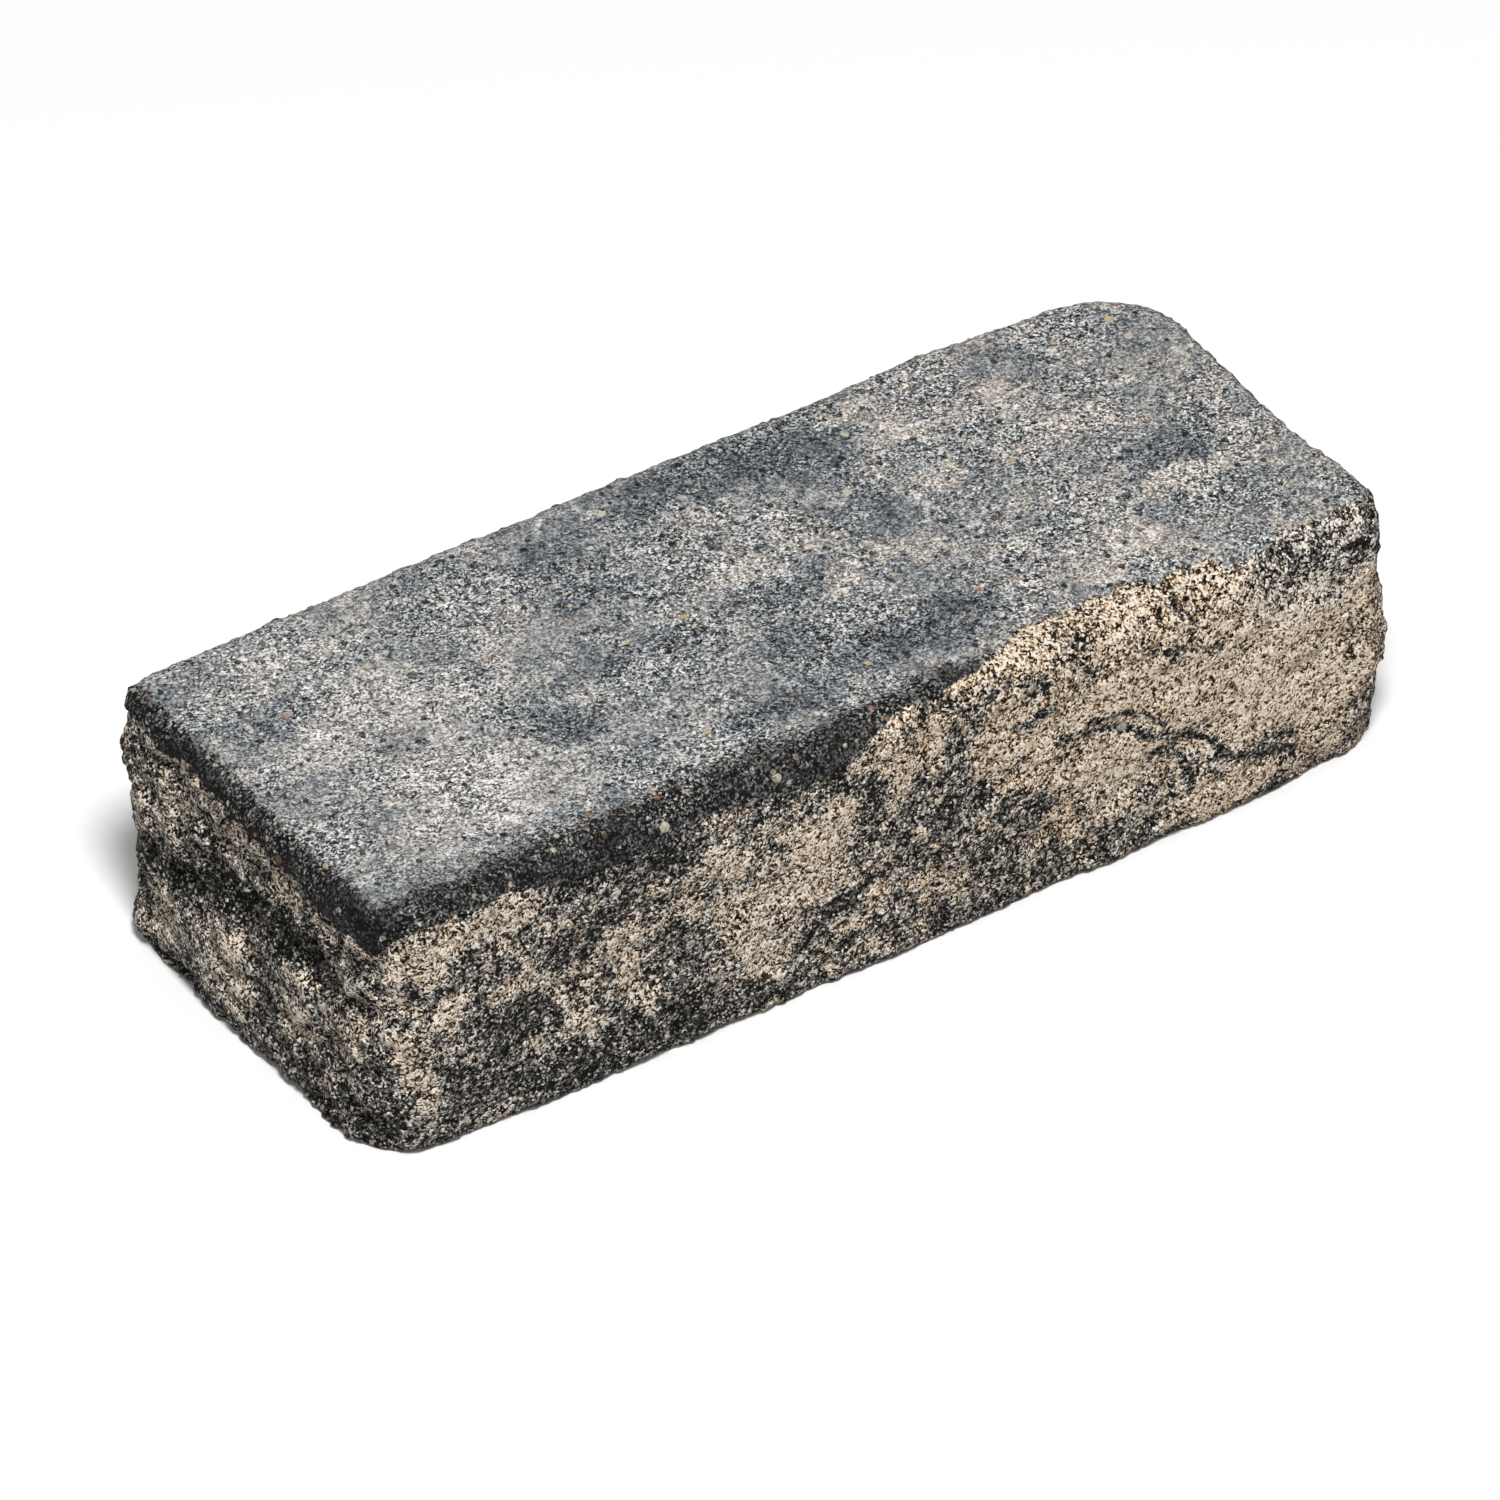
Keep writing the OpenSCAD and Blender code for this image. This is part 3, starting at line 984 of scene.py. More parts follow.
    def _patches(self, points: np.ndarray) -> dict[str, np.ndarray]:
        """What the patches and veins of each face add at each place, painted shade on the left end among
        them.

        Args:
            points: Places on the finished skin.

        Returns:
            The tone of the front, left and top, and how far the front is greyed, by name.
        """
        x, y, z = (points / MM).T
        aside, above = (stacked(layers, points) for layers in self.tones.strays)
        stray = self.tones.vein_stray
        front = sum(p.weigh(x + aside, z + above) for p in FRONT_PATCHES)
        front = front + sum(v.weigh(x + stray * aside, z + stray * above) for v in FRONT_VEINS)
        return {
            "front": front,
            "left": sum(p.weigh(y + aside, z + above) for p in LEFT_PATCHES_AND_SHADE),
            "top": sum(p.weigh(x + aside, y + above) for p in TOP_PATCHES),
            "greyed": sum(p.weigh(x + aside, z + above) for p in FRONT_COOL),
        }

    def _cream(self, points: np.ndarray, normals: np.ndarray, cloud: np.ndarray, torn: np.ndarray,
               patches: dict[str, np.ndarray]) -> np.ndarray:
        """Share of cream pigment, against charcoal.

        Args:
            points: Places on the finished skin.
            normals: Normals of the smooth skin.
            cloud: Random clouds at each place.
            torn: Share of torn concrete on the upper bed and its arris.
            patches: What the patches of each face add, painted shade on the left end among them.

        Returns:
            The share at each place, from below 0 for all charcoal to above 1 for all cream.
        """
        tones, share = self.tones, self.relief.weights(normals)
        x, _, z = (points / MM).T
        level, random, drawn = tones.front_cream
        cream = share[Side.FRONT] * (level + random * cloud + drawn * patches["front"])
        level, random, drawn = tones.left_cream
        flecks = tones.left_flecks * stacked(tones.flecks, points)
        cream += share[Side.LEFT] * (level + random * cloud + flecks + drawn * patches["left"])
        level, random = tones.hidden_cream
        foot = 1 - ease_step(z + tones.foot_stray * cloud, *tones.foot_top)
        hidden = share[Side.BACK] + share[Side.RIGHT]
        cream += hidden * (level + random * cloud - tones.foot_depth * foot)
        upward = share[Side.BED] * (normals[:, 2] > 0)
        level, random, drawn = tones.upper_cream
        cream += upward * (level + random * cloud + drawn * patches["top"])
        level, random = tones.lower_cream
        cream += (share[Side.BED] - upward) * (level + random * cloud)
        level, random, drawn = tones.broken_cream
        level = level - tones.broken_fall * ease_step(x, *tones.broken_right)
        return cream * (1 - torn) + torn * (level + random * cloud + drawn * patches["front"])

    def _dressing(self, points: np.ndarray, normals: np.ndarray, height: np.ndarray,
                  moulded: np.ndarray) -> dict[str, np.ndarray]:
        """Works out the pigments, the moulded skin, the crust and the painted shade in hollows at each
        place.

        Args:
            points: Places on the finished skin.
            normals: Normals of the smooth skin.
            height: Relief at each place.
            moulded: Share of moulded skin at each place.

        Returns:
            The share of cream pigment, moulded skin, charcoal crust, painted shade in the relief's hollows
            and blush, by name.
        """
        tones, share = self.tones, self.relief.weights(normals)
        cloud = stacked(tones.clouds + tones.flecks, points)
        patches = self._patches(points)
        upward = share[Side.BED] * (normals[:, 2] > 0)
        high_up = points[:, 2] / MM > self.high[2] / MM - tones.broken_band
        torn = (1 - moulded) * high_up * upward
        proud = tones.proud_sides * (share[Side.FRONT] + share[Side.BACK])
        proud = proud + tones.proud_ends * (share[Side.LEFT] + share[Side.RIGHT])
        # Painted shade: the further the relief lies below its proud level, the darker the colour
        hollow = (proud * MM - height) / (tones.hollow_shade_span * MM)
        thinned = 1 - tones.front_thinning * share[Side.FRONT]
        greyed = (share[Side.FRONT] + torn) * np.minimum(patches["greyed"], tones.most_grey)
        blush = tones.blush + tones.blush_rise * ease_step(points[:, 0] / MM, *tones.blush_from)
        return {
            "cream": self._cream(points, normals, cloud, torn, patches),
            "skin": moulded,
            "crust": moulded * self._crust(points) * thinned,
            "hollow_shade": np.clip(hollow, -1, tones.deepest_hollow_shade),
            "blush": blush + tones.blush_cloud * cloud - greyed,
        }

    def _unwrap(self, mesh: bpy.types.Mesh, grid: np.ndarray, sides: np.ndarray, quad_count: int,
                flat: dict[str, tuple[int, int]]) -> None:
        """Lays the skin out flat: four side strips and two beds, packed in one square.

        Args:
            mesh: The finished mesh.
            grid: The grid of places, by row and station.
            sides: The side of each station.
            quad_count: Number of faces that belong to the grid.
            flat: For each bed, its first face and the face after its last.
        """
        rows, stations = grid.shape[:2]
        ring = grid[rows // 2]
        steps = np.linalg.norm(np.roll(ring, -1, axis=0) - ring, axis=1)
        along = np.concatenate(((0,), np.cumsum(steps)))
        lifts = np.linalg.norm(np.diff(grid, axis=0), axis=2).mean(axis=1)
        up = np.concatenate(((0,), np.cumsum(lifts)))
        starts = [int(np.argmax(sides == side)) for side in range(4)]
        column = 2 * self.half[0] + 2 * self.chart_gap
        tall = up[-1] + self.chart_gap
        quads = np.arange(quad_count)
        row, station = quads // stations, quads % stations
        run = np.stack([station, station + 1, station + 1, station], axis=1)
        lift = np.stack([row, row, row + 1, row + 1], axis=1)
        side = sides[station][:, None]
        u = along[run] - along[np.array(starts)][side]
        v = up[lift]
        end_number = np.where(side == 1, 0, 1)
        end_width = 2 * self.half[1] + 2 * self.chart_gap
        is_end = side % 2 == 1
        u, v = (np.where(is_end, column + v, u),
                np.where(is_end, end_number * end_width + u, v + np.where(side == 2, tall, 0)))
        layout = np.zeros((len(mesh.loops), 2))
        layout[:quad_count * 4] = np.stack([u.ravel(), v.ravel()], axis=1)
        co = np.array([v.co for v in mesh.vertices])
        corner_vertex = np.empty(len(mesh.loops), dtype=np.int64)
        mesh.loops.foreach_get("vertex_index", corner_vertex)
        base = 2 * tall
        for name, scale in (("upper_bed", 1.0), ("lower_bed", self.hidden_bed_scale)):
            first, last = flat[name]
            start, end = (quad_count * 4 + 3 * (face - quad_count) for face in (first, last))
            loops = slice(start, end)
            spots = co[corner_vertex[loops], :2]
            spots = (spots - spots.min(axis=0)) * scale
            layout[loops] = spots + (0, base)
            base += spots[:, 1].max() + self.chart_gap
        layout = (layout + self.chart_gap) / (max(layout.max(axis=0)) + 2 * self.chart_gap)
        chart = mesh.uv_layers.new(name="OFBake")
        chart.data.foreach_set("uv", layout.astype(np.float32).ravel())

    def build(self) -> bpy.types.Object:
        """Makes the skin with its relief, tones and flat layout.

        Returns:
            The new object.
        """
        grid, sides = self._cast()
        grid = self._smooth(grid)
        normals = self._normals(grid)
        rows, stations = grid.shape[:2]
        upper = self._inside(self.top_cell, self.core_inset - self.top_wrap)
        lower = self._inside(self.bed_cell, self.core_inset - self.bed_wrap)
        upper_points = np.column_stack((upper, np.full(len(upper), self.high[2])))
        lower_points = np.column_stack((lower, np.full(len(lower), self.low[2])))
        points = np.concatenate((grid.reshape(-1, 3), upper_points, lower_points))
        normal_list = np.concatenate((
            normals.reshape(-1, 3),
            np.tile((0.0, 0.0, 1.0), (len(upper), 1)),
            np.tile((0.0, 0.0, -1.0), (len(lower), 1)),
        ))
        moulded = self._moulded(points)
        height = self.relief.heights(points, normal_list, moulded, self.low, self.high)
        under = self.relief.weights(normal_list)[Side.BED] * (normal_list[:, 2] < 0)
        height -= under * height[under > self.wholly_under].max()
        height = self._held_in(points, normal_list, height)
        points = np.clip(points + normal_list * height[:, None], self.low, self.high)
        row, station = np.mgrid[0:rows - 1, 0:stations]
        after = (station + 1) % stations
        quads = np.stack([row * stations + station, row * stations + after,
                          (row + 1) * stations + after, (row + 1) * stations + station], axis=-1)
        quads = quads.reshape(-1, 4).tolist()
        first_upper = rows * stations
        first_lower = first_upper + len(upper)
        upper_faces = self._cap(grid[-1, :, :2], upper, (rows - 1) * stations, first_upper, True)
        lower_faces = self._cap(grid[0, :, :2], lower, 0, first_lower, False)
        mesh = bpy.data.meshes.new(self.name)
        mesh.from_pydata(points.tolist(), [], quads + upper_faces + lower_faces)
        upper_end = len(quads) + len(upper_faces)
        flat = {"upper_bed": (len(quads), upper_end),
                "lower_bed": (upper_end, upper_end + len(lower_faces))}
        self._unwrap(mesh, grid, sides, len(quads), flat)
        for name, values in self._dressing(points, normal_list, height, moulded).items():
            mesh.attributes.new(name, "FLOAT", "POINT").data.foreach_set("value", values.astype(np.float32))
        mesh.shade_smooth()
        block = bpy.data.objects.new(self.name, mesh)
        bpy.context.collection.objects.link(block)
        log.info("%s: %d places, %d quads, %d triangles", self.name, len(points), len(quads),
                 len(upper_faces) + len(lower_faces))
        return block


# The standard curve from a screen's colour numbers to linear light
SCREEN_STEPS = 255
SCREEN_FOOT = 0.04045
SCREEN_FOOT_SLOPE = 12.92
SCREEN_OFFSET = 0.055
SCREEN_POWER = 2.4


def tint(red: int, green: int, blue: int) -> tuple[float, float, float, float]:
    """A colour given as three numbers up to 255, as the renderer's own linear colour.

    Args:
        red: Red part.
        green: Green part.
        blue: Blue part.

    Returns:
        The linear red, green, blue and cover.
    """
    linear = []
    for part in (red / SCREEN_STEPS, green / SCREEN_STEPS, blue / SCREEN_STEPS):
        if part <= SCREEN_FOOT:
            linear.append(part / SCREEN_FOOT_SLOPE)
        else:
            linear.append(((part + SCREEN_OFFSET) / (1 + SCREEN_OFFSET)) ** SCREEN_POWER)
    return (*linear, 1.0)


class NodeBench:
    """Adds and joins the nodes of one material."""

    def __init__(self, name: str) -> None:
        """Starts a material with only a shader and an output.

        Args:
            name: The material's name.
        """
        self.material = bpy.data.materials.new(name)
        self.material.use_nodes = True
        self.tree = self.material.node_tree
        self.shader = self.tree.nodes["Principled BSDF"]
        self.place = self.tree.nodes.new("ShaderNodeTexCoord").outputs["Object"]

    def feed(self, socket: bpy.types.NodeSocket, value: object) -> None:
        """Joins a socket to another one, or sets its plain value.

        Args:
            socket: The socket that is fed.
            value: The socket or plain value that feeds it.
        """
        if isinstance(value, bpy.types.NodeSocket):
            self.tree.links.new(value, socket)
        else:
            socket.default_value = value

    def attribute(self, name: str) -> bpy.types.NodeSocket:
        """A value stored on the mesh.

        Args:
            name: The value's name.

        Returns:
            The socket that gives it.
        """
        node = self.tree.nodes.new("ShaderNodeAttribute")
        node.attribute_name = name
        return node.outputs["Fac"]

    def math(self, operation: str, first: object, second: object = 0.0,
             clamp: bool = False) -> bpy.types.NodeSocket:
        """Sum, product or other operation on two values.

        Args:
            operation: The renderer's name for the operation.
            first: First value.
            second: Second value.
            clamp: Whether the result is held between 0 and 1.

        Returns:
            The socket of the result.
        """
        node = self.tree.nodes.new("ShaderNodeMath")
        node.operation, node.use_clamp = operation, clamp
        self.feed(node.inputs[0], first)
        self.feed(node.inputs[1], second)
        return node.outputs[0]

    def total(self, *values: object) -> bpy.types.NodeSocket:
        """The sum of two or more values."""
        return functools.reduce(lambda first, second: self.math("ADD", first, second), values)

    def times(self, first: object, second: object, clamp: bool = False) -> bpy.types.NodeSocket:
        """The product of two values, held between 0 and 1 if wanted."""
        return self.math("MULTIPLY", first, second, clamp)

    def less(self, first: object, second: object, clamp: bool = False) -> bpy.types.NodeSocket:
        """The first value less the second, held between 0 and 1 if wanted."""
        return self.math("SUBTRACT", first, second, clamp)

    def weighed(self, value: object, gain: object, middle: float = 0.5) -> bpy.types.NodeSocket:
        """A value measured from its middle and multiplied."""
        return self.times(self.less(value, middle), gain)

    def ends(self, share: object, pair: tuple[float, float]) -> bpy.types.NodeSocket:
        """A number that runs from the first of a pair to the second as a share runs from 0 to 1."""
        return self.spread(share, 0, 1, *pair)

    def spread(self, value: object, low: float, high: float, to_low: float = 0.0,
               to_high: float = 1.0) -> bpy.types.NodeSocket:
        """A value carried from one range to another, held within it.

        Args:
            value: The value.
            low: Where its range starts.
            high: Where its range ends.
            to_low: Result at the start.
            to_high: Result at the end.

        Returns:
            The socket of the result.
        """
        node = self.tree.nodes.new("ShaderNodeMapRange")
        for socket, given in zip(node.inputs, (value, low, high, to_low, to_high)):
            self.feed(socket, given)
        return node.outputs[0]

    def mixed(self, share: object, first: object, second: object) -> bpy.types.NodeSocket:
        """Two values blended by a share.

        Args:
            share: Share of the second value.
            first: First value.
            second: Second value.

        Returns:
            The socket of the result.
        """
        node = self.tree.nodes.new("ShaderNodeMix")
        sockets = [s for s in node.inputs if s.enabled]
        for socket, value in zip(sockets, (share, first, second)):
            self.feed(socket, value)
        return next(s for s in node.outputs if s.enabled)

    def bent(self, pitch: float, reach: float) -> bpy.types.NodeSocket:
        """The object's own place, pushed about by noise so that patterns read there wander.

        Args:
            pitch: Distance between the noise's lumps.
            reach: How far the place is pushed.

        Returns:
            The socket of the moved place.
        """
        wobble = self.tree.nodes.new("ShaderNodeTexNoise")
        self.feed(wobble.inputs["Vector"], self.place)
        wobble.inputs["Scale"].default_value = 1 / pitch
        scaled = self.tree.nodes.new("ShaderNodeVectorMath")
        scaled.operation = "SCALE"
        self.feed(scaled.inputs[0], wobble.outputs["Color"])
        scaled.inputs["Scale"].default_value = reach
        moved = self.tree.nodes.new("ShaderNodeVectorMath")
        moved.operation = "ADD"
        self.feed(moved.inputs[0], self.place)
        self.feed(moved.inputs[1], scaled.outputs[0])
        return moved.outputs[0]

    def noise(self, pitch: float, detail: float, roughness: float,
              distortion: float) -> bpy.types.NodeSocket:
        """Cloudy noise whose lumps are about one pitch apart.

        Args:
            pitch: Distance between the lumps.
            detail: Number of finer layers.
            roughness: Weight of each finer layer against the one before.
            distortion: How far the lumps are drawn about.

        Returns:
            The socket of the noise.
        """
        node = self.tree.nodes.new("ShaderNodeTexNoise")
        self.feed(node.inputs["Vector"], self.place)
        node.inputs["Scale"].default_value = 1 / pitch
        node.inputs["Detail"].default_value = detail
        node.inputs["Roughness"].default_value = roughness
        node.inputs["Distortion"].default_value = distortion
        return node.outputs["Fac"]

    def cells(self, pitch: float, place: object) -> tuple[bpy.types.NodeSocket, ...]:
        """Grains about one pitch apart.

        Args:
            pitch: Distance from one grain to the next.
            place: Where the pattern is read.

        Returns:
            The distance from the grain's middle in pitches, and two random numbers for the grain.
        """
        node = self.tree.nodes.new("ShaderNodeTexVoronoi")
        self.feed(node.inputs["Vector"], place)
        node.inputs["Scale"].default_value = 1 / pitch
        split = self.tree.nodes.new("ShaderNodeSeparateColor")
        self.feed(split.inputs[0], node.outputs["Color"])
        return node.outputs["Distance"], split.outputs[0], split.outputs[1]

    def curve(self, value: object, points: tuple[tuple[float, float], ...]) -> bpy.types.NodeSocket:
        """A value read off a bent line through the given points."""
        return self.ramp(value, tuple((at, (level, level, level, 1.0)) for at, level in points))

    def ramp(self, value: object, stops: tuple[tuple[float, tuple[float, ...]], ...],
             stepped: bool = False) -> bpy.types.NodeSocket:
        """A colour picked from a row of stops.

        Args:
            value: What picks the colour, from 0 to 1.
            stops: Each stop's place and its linear colour.
            stepped: Whether a colour holds until the next stop.

        Returns:
            The socket of the colour.
        """
        node = self.tree.nodes.new("ShaderNodeValToRGB")
        node.color_ramp.interpolation = "CONSTANT" if stepped else "LINEAR"
        elements = node.color_ramp.elements
        while len(elements) < len(stops):
            elements.new(0.5)
        for element, (position, colour) in zip(elements, stops):
            element.position, element.color = position, colour
        self.feed(node.inputs[0], value)
        return node.outputs["Color"]

    def blend(self, share: object, first: object, second: object) -> bpy.types.NodeSocket:
        """Two colours blended by a share.

        Args:
            share: Share of the second colour.
            first: First colour.
            second: Second colour.

        Returns:
            The socket of the colour.
        """
        node = self.tree.nodes.new("ShaderNodeMix")
        node.data_type = "RGBA"
        sockets = [s for s in node.inputs if s.enabled]
        for socket, value in zip(sockets, (share, first, second)):
            self.feed(socket, value)
        return next(s for s in node.outputs if s.enabled)


@dataclass(frozen=True)
class Stones:
    """Round stones scattered in the concrete."""

    pitch: float
    # Share of the places where a stone may lie that stay empty
    empty: float
    # Greatest radius, in pitches
    reach: float
    cover: float
    # Share that stays empty at the edge of the crust, where that differs
    rim_empty: float | None = None
    edge: float = 0.04

    def lay(self, bench: NodeBench, place: object,
            rim: object) -> tuple[bpy.types.NodeSocket, bpy.types.NodeSocket]:
        """Lays the stones in a material.

        Args:
            bench: The material's nodes.
            place: Where the pattern is read.
            rim: How near the edge of the crust is, from 0 to 1.

        Returns:
            The stones' cover, and a random number for each stone.
        """
        far, pick, kind = bench.cells(self.pitch, place)
        least = self.empty
        if self.rim_empty is not None:
            least = bench.ends(rim, (self.empty, self.rim_empty))
        radius = bench.spread(pick, least, 1.0, 0.0, self.reach)
        return bench.spread(bench.less(radius, far), 0.0, self.edge), kind


@dataclass(frozen=True)
class Noise:
    """Cloudy noise of one pitch."""

    pitch: float
    detail: float = 2.0
    roughness: float = 0.6
    distortion: float = 0.0

    def read(self, bench: NodeBench) -> bpy.types.NodeSocket:
        """The noise as a socket, about 0.5 in the mean."""
        return bench.noise(self.pitch, self.detail, self.roughness, self.distortion)


@dataclass(frozen=True)
class Grain:
    """The patterns of the concrete, as sockets that a material reads again and again."""

    marble: bpy.types.NodeSocket
    mottle: bpy.types.NodeSocket
    gap: bpy.types.NodeSocket
    pick: bpy.types.NodeSocket
    sand: bpy.types.NodeSocket
    grain: bpy.types.NodeSocket


@dataclass(frozen=True)
class CastConcrete:
    """Finish of two-pigment dry-cast concrete, split on its sides and moulded on its beds.

    The level is the paleness of a colour, from 0 for black to 1 for white. Cream and charcoal
    pigments are marbled together, and every grain of sand is paler or darker than its neighbours.
    A gain that is a pair holds for torn concrete first and for the moulded skin second.
    """

    slot: str = "cast_concrete"
    # Patterns
    swirl: Noise = Noise(30 * MM, 5, 0.6, 2.6)
    marble: Noise = Noise(11 * MM, 4, 0.7, 0.7)
    mottle: Noise = Noise(4.5 * MM, 4, 0.75)
    patches: Noise = Noise(32 * MM)
    splashes: Noise = Noise(8 * MM, 3, 0.7)
    calm: Noise = Noise(30 * MM)
    bend_pitch: float = 2.2 * MM
    bend_reach: float = 1.5 * MM
    sand_pitch: float = 1.15 * MM
    grain_pitch: float = 0.7 * MM
    sand_tones: tuple = ((0.0, 0.0), (0.16, 0.4), (0.84, 0.6), (1.0, 1.0))
    # Random veins: the noise they follow, their reach and their depth
    veins: tuple = (
        (Noise(22 * MM, 3, 0.65, 1.4), 0.02, 0.5),
        (Noise(11 * MM, 3, 0.65, 1.4), 0.03, 0.4),
    )
    vein_patches: tuple[float, float] = (0.42, 0.56)
    # Gains of the patterns in the share of cream
    marble_gain: float = 1.0
    mottle_gain: tuple[float, float] = (1.5, 0.85)
    swirl_gain: tuple[float, float] = (1.3, 0.5)
    vein_gain: tuple[float, float] = (1.0, 0.3)
    pick_gain: float = 0.14
    cream_edge: tuple[float, float] = (0.3, 0.7)
    cream_reach: tuple[float, float] = (-0.5, 1.5)
    # Raggedness of the ends of the moulded skin and the crust
    ragged_gains: tuple[float, float, float] = (1.2, 0.5, 0.35)
    torn_wear: float = 0.35
    wear_starts: tuple[float, float] = (0, 0.5)
    skin_edge: tuple[float, float] = (0.3, 0.7)
    crust_edge: tuple[float, float] = (0.24, 0.76)
    crust_pick: float = 0.3
    # Levels
    split_levels: tuple = ((0.0, 0.22), (0.28, 0.34), (0.7, 0.86), (1.0, 1.0))
    skin_levels: tuple = ((0.0, 0.34), (0.38, 0.5), (0.62, 0.62), (1.0, 0.78))
    crust_level: float = 0.17
    coarse_gain: tuple[float, float] = (1.3, 0.34)
    crust_coarse: float = 0.2
    # Gain of the sand in charcoal and in cream, and on the moulded skin and the crust
    torn_fine: tuple[float, float] = (0.98, 1.26)
    skin_fine: float = 0.6
    crust_fine: float = 0.78
    calm_edge: tuple[float, float] = (0.36, 0.64)
    calm_gain: tuple[float, float] = (0.55, 1.2)
    sand_gain: tuple[float, float] = (1.0, 0.6)
    grain_gain: tuple[float, float] = (1.12, 1.15)
    # Painted shade between grains of sand: darker towards the edge of each grain
    gap_shade_middle: float = 0.42
    gap_shade_gain: float = -0.45
    # Darkening of the relief's hollows, which is painted shade
    hollow_shade_depth: float = 0.12
    splash_edge: tuple[float, float] = (0.58, 0.66)
    splash_gain: float = 0.16
    # Colours
    torn_warmth: tuple[float, float] = (0.1, 1.0)
    skin_warmth: tuple[float, float] = (0.0, 0.22)
    crust_warmth: float = 0.15
    crust_grey: float = 0.3
    cool_stops: tuple = (
        (0.0, tint(10, 10, 11)),
        (0.2, tint(47, 50, 53)),
        (0.4, tint(98, 102, 105)),
        (0.6, tint(151, 155, 157)),
        (0.8, tint(206, 207, 206)),
        (1.0, tint(248, 247, 243)),
    )
    grey_stops: tuple = (
        (0.0, tint(10, 10, 9)),
        (0.2, tint(50, 50, 47)),
        (0.4, tint(102, 101, 96)),
        (0.6, tint(155, 152, 146)),
        (0.8, tint(208, 203, 195)),
        (1.0, tint(250, 246, 238)),
    )
    warm_stops: tuple = (
        (0.0, tint(16, 12, 8)),
        (0.2, tint(60, 51, 40)),
        (0.4, tint(124, 103, 80)),
        (0.6, tint(190, 160, 128)),
        (0.8, tint(241, 211, 177)),
        (1.0, tint(254, 241, 222)),
    )
    chip_stops: tuple = (
        (0.0, tint(217, 205, 183)),
        (0.28, tint(205, 184, 150)),
        (0.42, tint(180, 152, 136)),
        (0.54, tint(150, 112, 84)),
        (0.64, tint(104, 84, 64)),
        (0.76, tint(70, 70, 68)),
        (0.9, tint(232, 225, 212)),
    )
    # Colour of the pores: painted shade inside the holes, which the bump also sinks
    pore_shade_colour: tuple = tint(18, 17, 15)
    # Stones and pores
    crumbs: Stones = Stones(4.6 * MM, 0.5, 0.3, 0.6, 0.0)
    chips: Stones = Stones(9 * MM, 0.45, 0.25, 0.6, 0.1)
    pores: Stones = Stones(4.2 * MM, 0.35, 0.3, 0.85)
    stone_sand: tuple[float, float] = (0.35, 0.65)
    stone_fade: tuple[float, float] = (-0.3, 0.2)
    # Surface
    rough_from: tuple[float, float] = (0.5, 1.5)
    roughness: tuple[float, float] = (0.8, 0.96)
    specular: float = 0.1
    sand_height: float = 0.45 * MM
    mottle_height: float = 2.4 * MM
    grain_height: float = 0.12 * MM
    bump_share: tuple[float, float] = (1.0, 0.4)
    chip_height: float = 0.25 * MM
    pore_depth: float = 0.9 * MM

    def _grain(self, bench: NodeBench, place: object) -> Grain:
        """Lays out the patterns that the rest of the finish reads.

        Args:
            bench: The material's nodes.
            place: Where the sand is read.

        Returns:
            The patterns.
        """
        gap, pick, _ = bench.cells(self.sand_pitch, place)
        _, grain, _ = bench.cells(self.grain_pitch, place)
        return Grain(self.marble.read(bench), self.mottle.read(bench), gap, pick,
                     bench.curve(pick, self.sand_tones), grain)

    def _share(self, bench: NodeBench, grain: Grain, cream: object,
               skin: object) -> bpy.types.NodeSocket:
        """Share of cream pigment, with the random swirls, mottles and veins added.

        Args:
            bench: The material's nodes.
            grain: The patterns.
            cream: The block's own share of cream.
            skin: Share of moulded skin.

        Returns:
            The socket of the share.
        """
        veins = []
        for noise, reach, depth in self.veins:
            far = bench.math("ABSOLUTE", bench.less(noise.read(bench), 0.5))
            veins.append(bench.spread(far, 0.0, reach, depth, 0.0))
        patchy = bench.spread(self.patches.read(bench), *self.vein_patches)
        vein = bench.times(bench.total(*veins), patchy)
        share = bench.total(cream, bench.weighed(grain.marble, self.marble_gain),
                            bench.weighed(grain.mottle, bench.ends(skin, self.mottle_gain)),
                            bench.weighed(self.swirl.read(bench), bench.ends(skin, self.swirl_gain)))
        share = bench.less(share, bench.times(vein, bench.ends(skin, self.vein_gain)))
        return bench.total(share, bench.weighed(grain.pick, self.pick_gain))

    def _speckle(self, bench: NodeBench, grain: Grain, pigment: object, skin: object,
                 crust: object) -> bpy.types.NodeSocket:
        """How much paler or darker each grain of sand is than the concrete round it, with painted shade
        darkening each grain towards its edges.

        Args:
            bench: The material's nodes.
            grain: The patterns.
            pigment: Cream against charcoal.
            skin: Share of moulded skin.
            crust: Share of charcoal crust.

        Returns:
            The socket of the difference in level.
        """
        fine = bench.mixed(skin, bench.ends(pigment, self.torn_fine), self.skin_fine)
        fine = bench.mixed(crust, fine, self.crust_fine)
        calm = bench.spread(self.calm.read(bench), *self.calm_edge, *self.calm_gain)
        fine = bench.times(fine, bench.mixed(skin, 1.0, calm))
        # The gap term is painted shade between the grains
        speckle = bench.total(bench.weighed(grain.sand, bench.ends(skin, self.sand_gain)),
                              bench.weighed(grain.gap, self.gap_shade_gain, self.gap_shade_middle),
                              bench.weighed(grain.grain, bench.ends(skin, self.grain_gain)))
        return bench.times(speckle, fine)

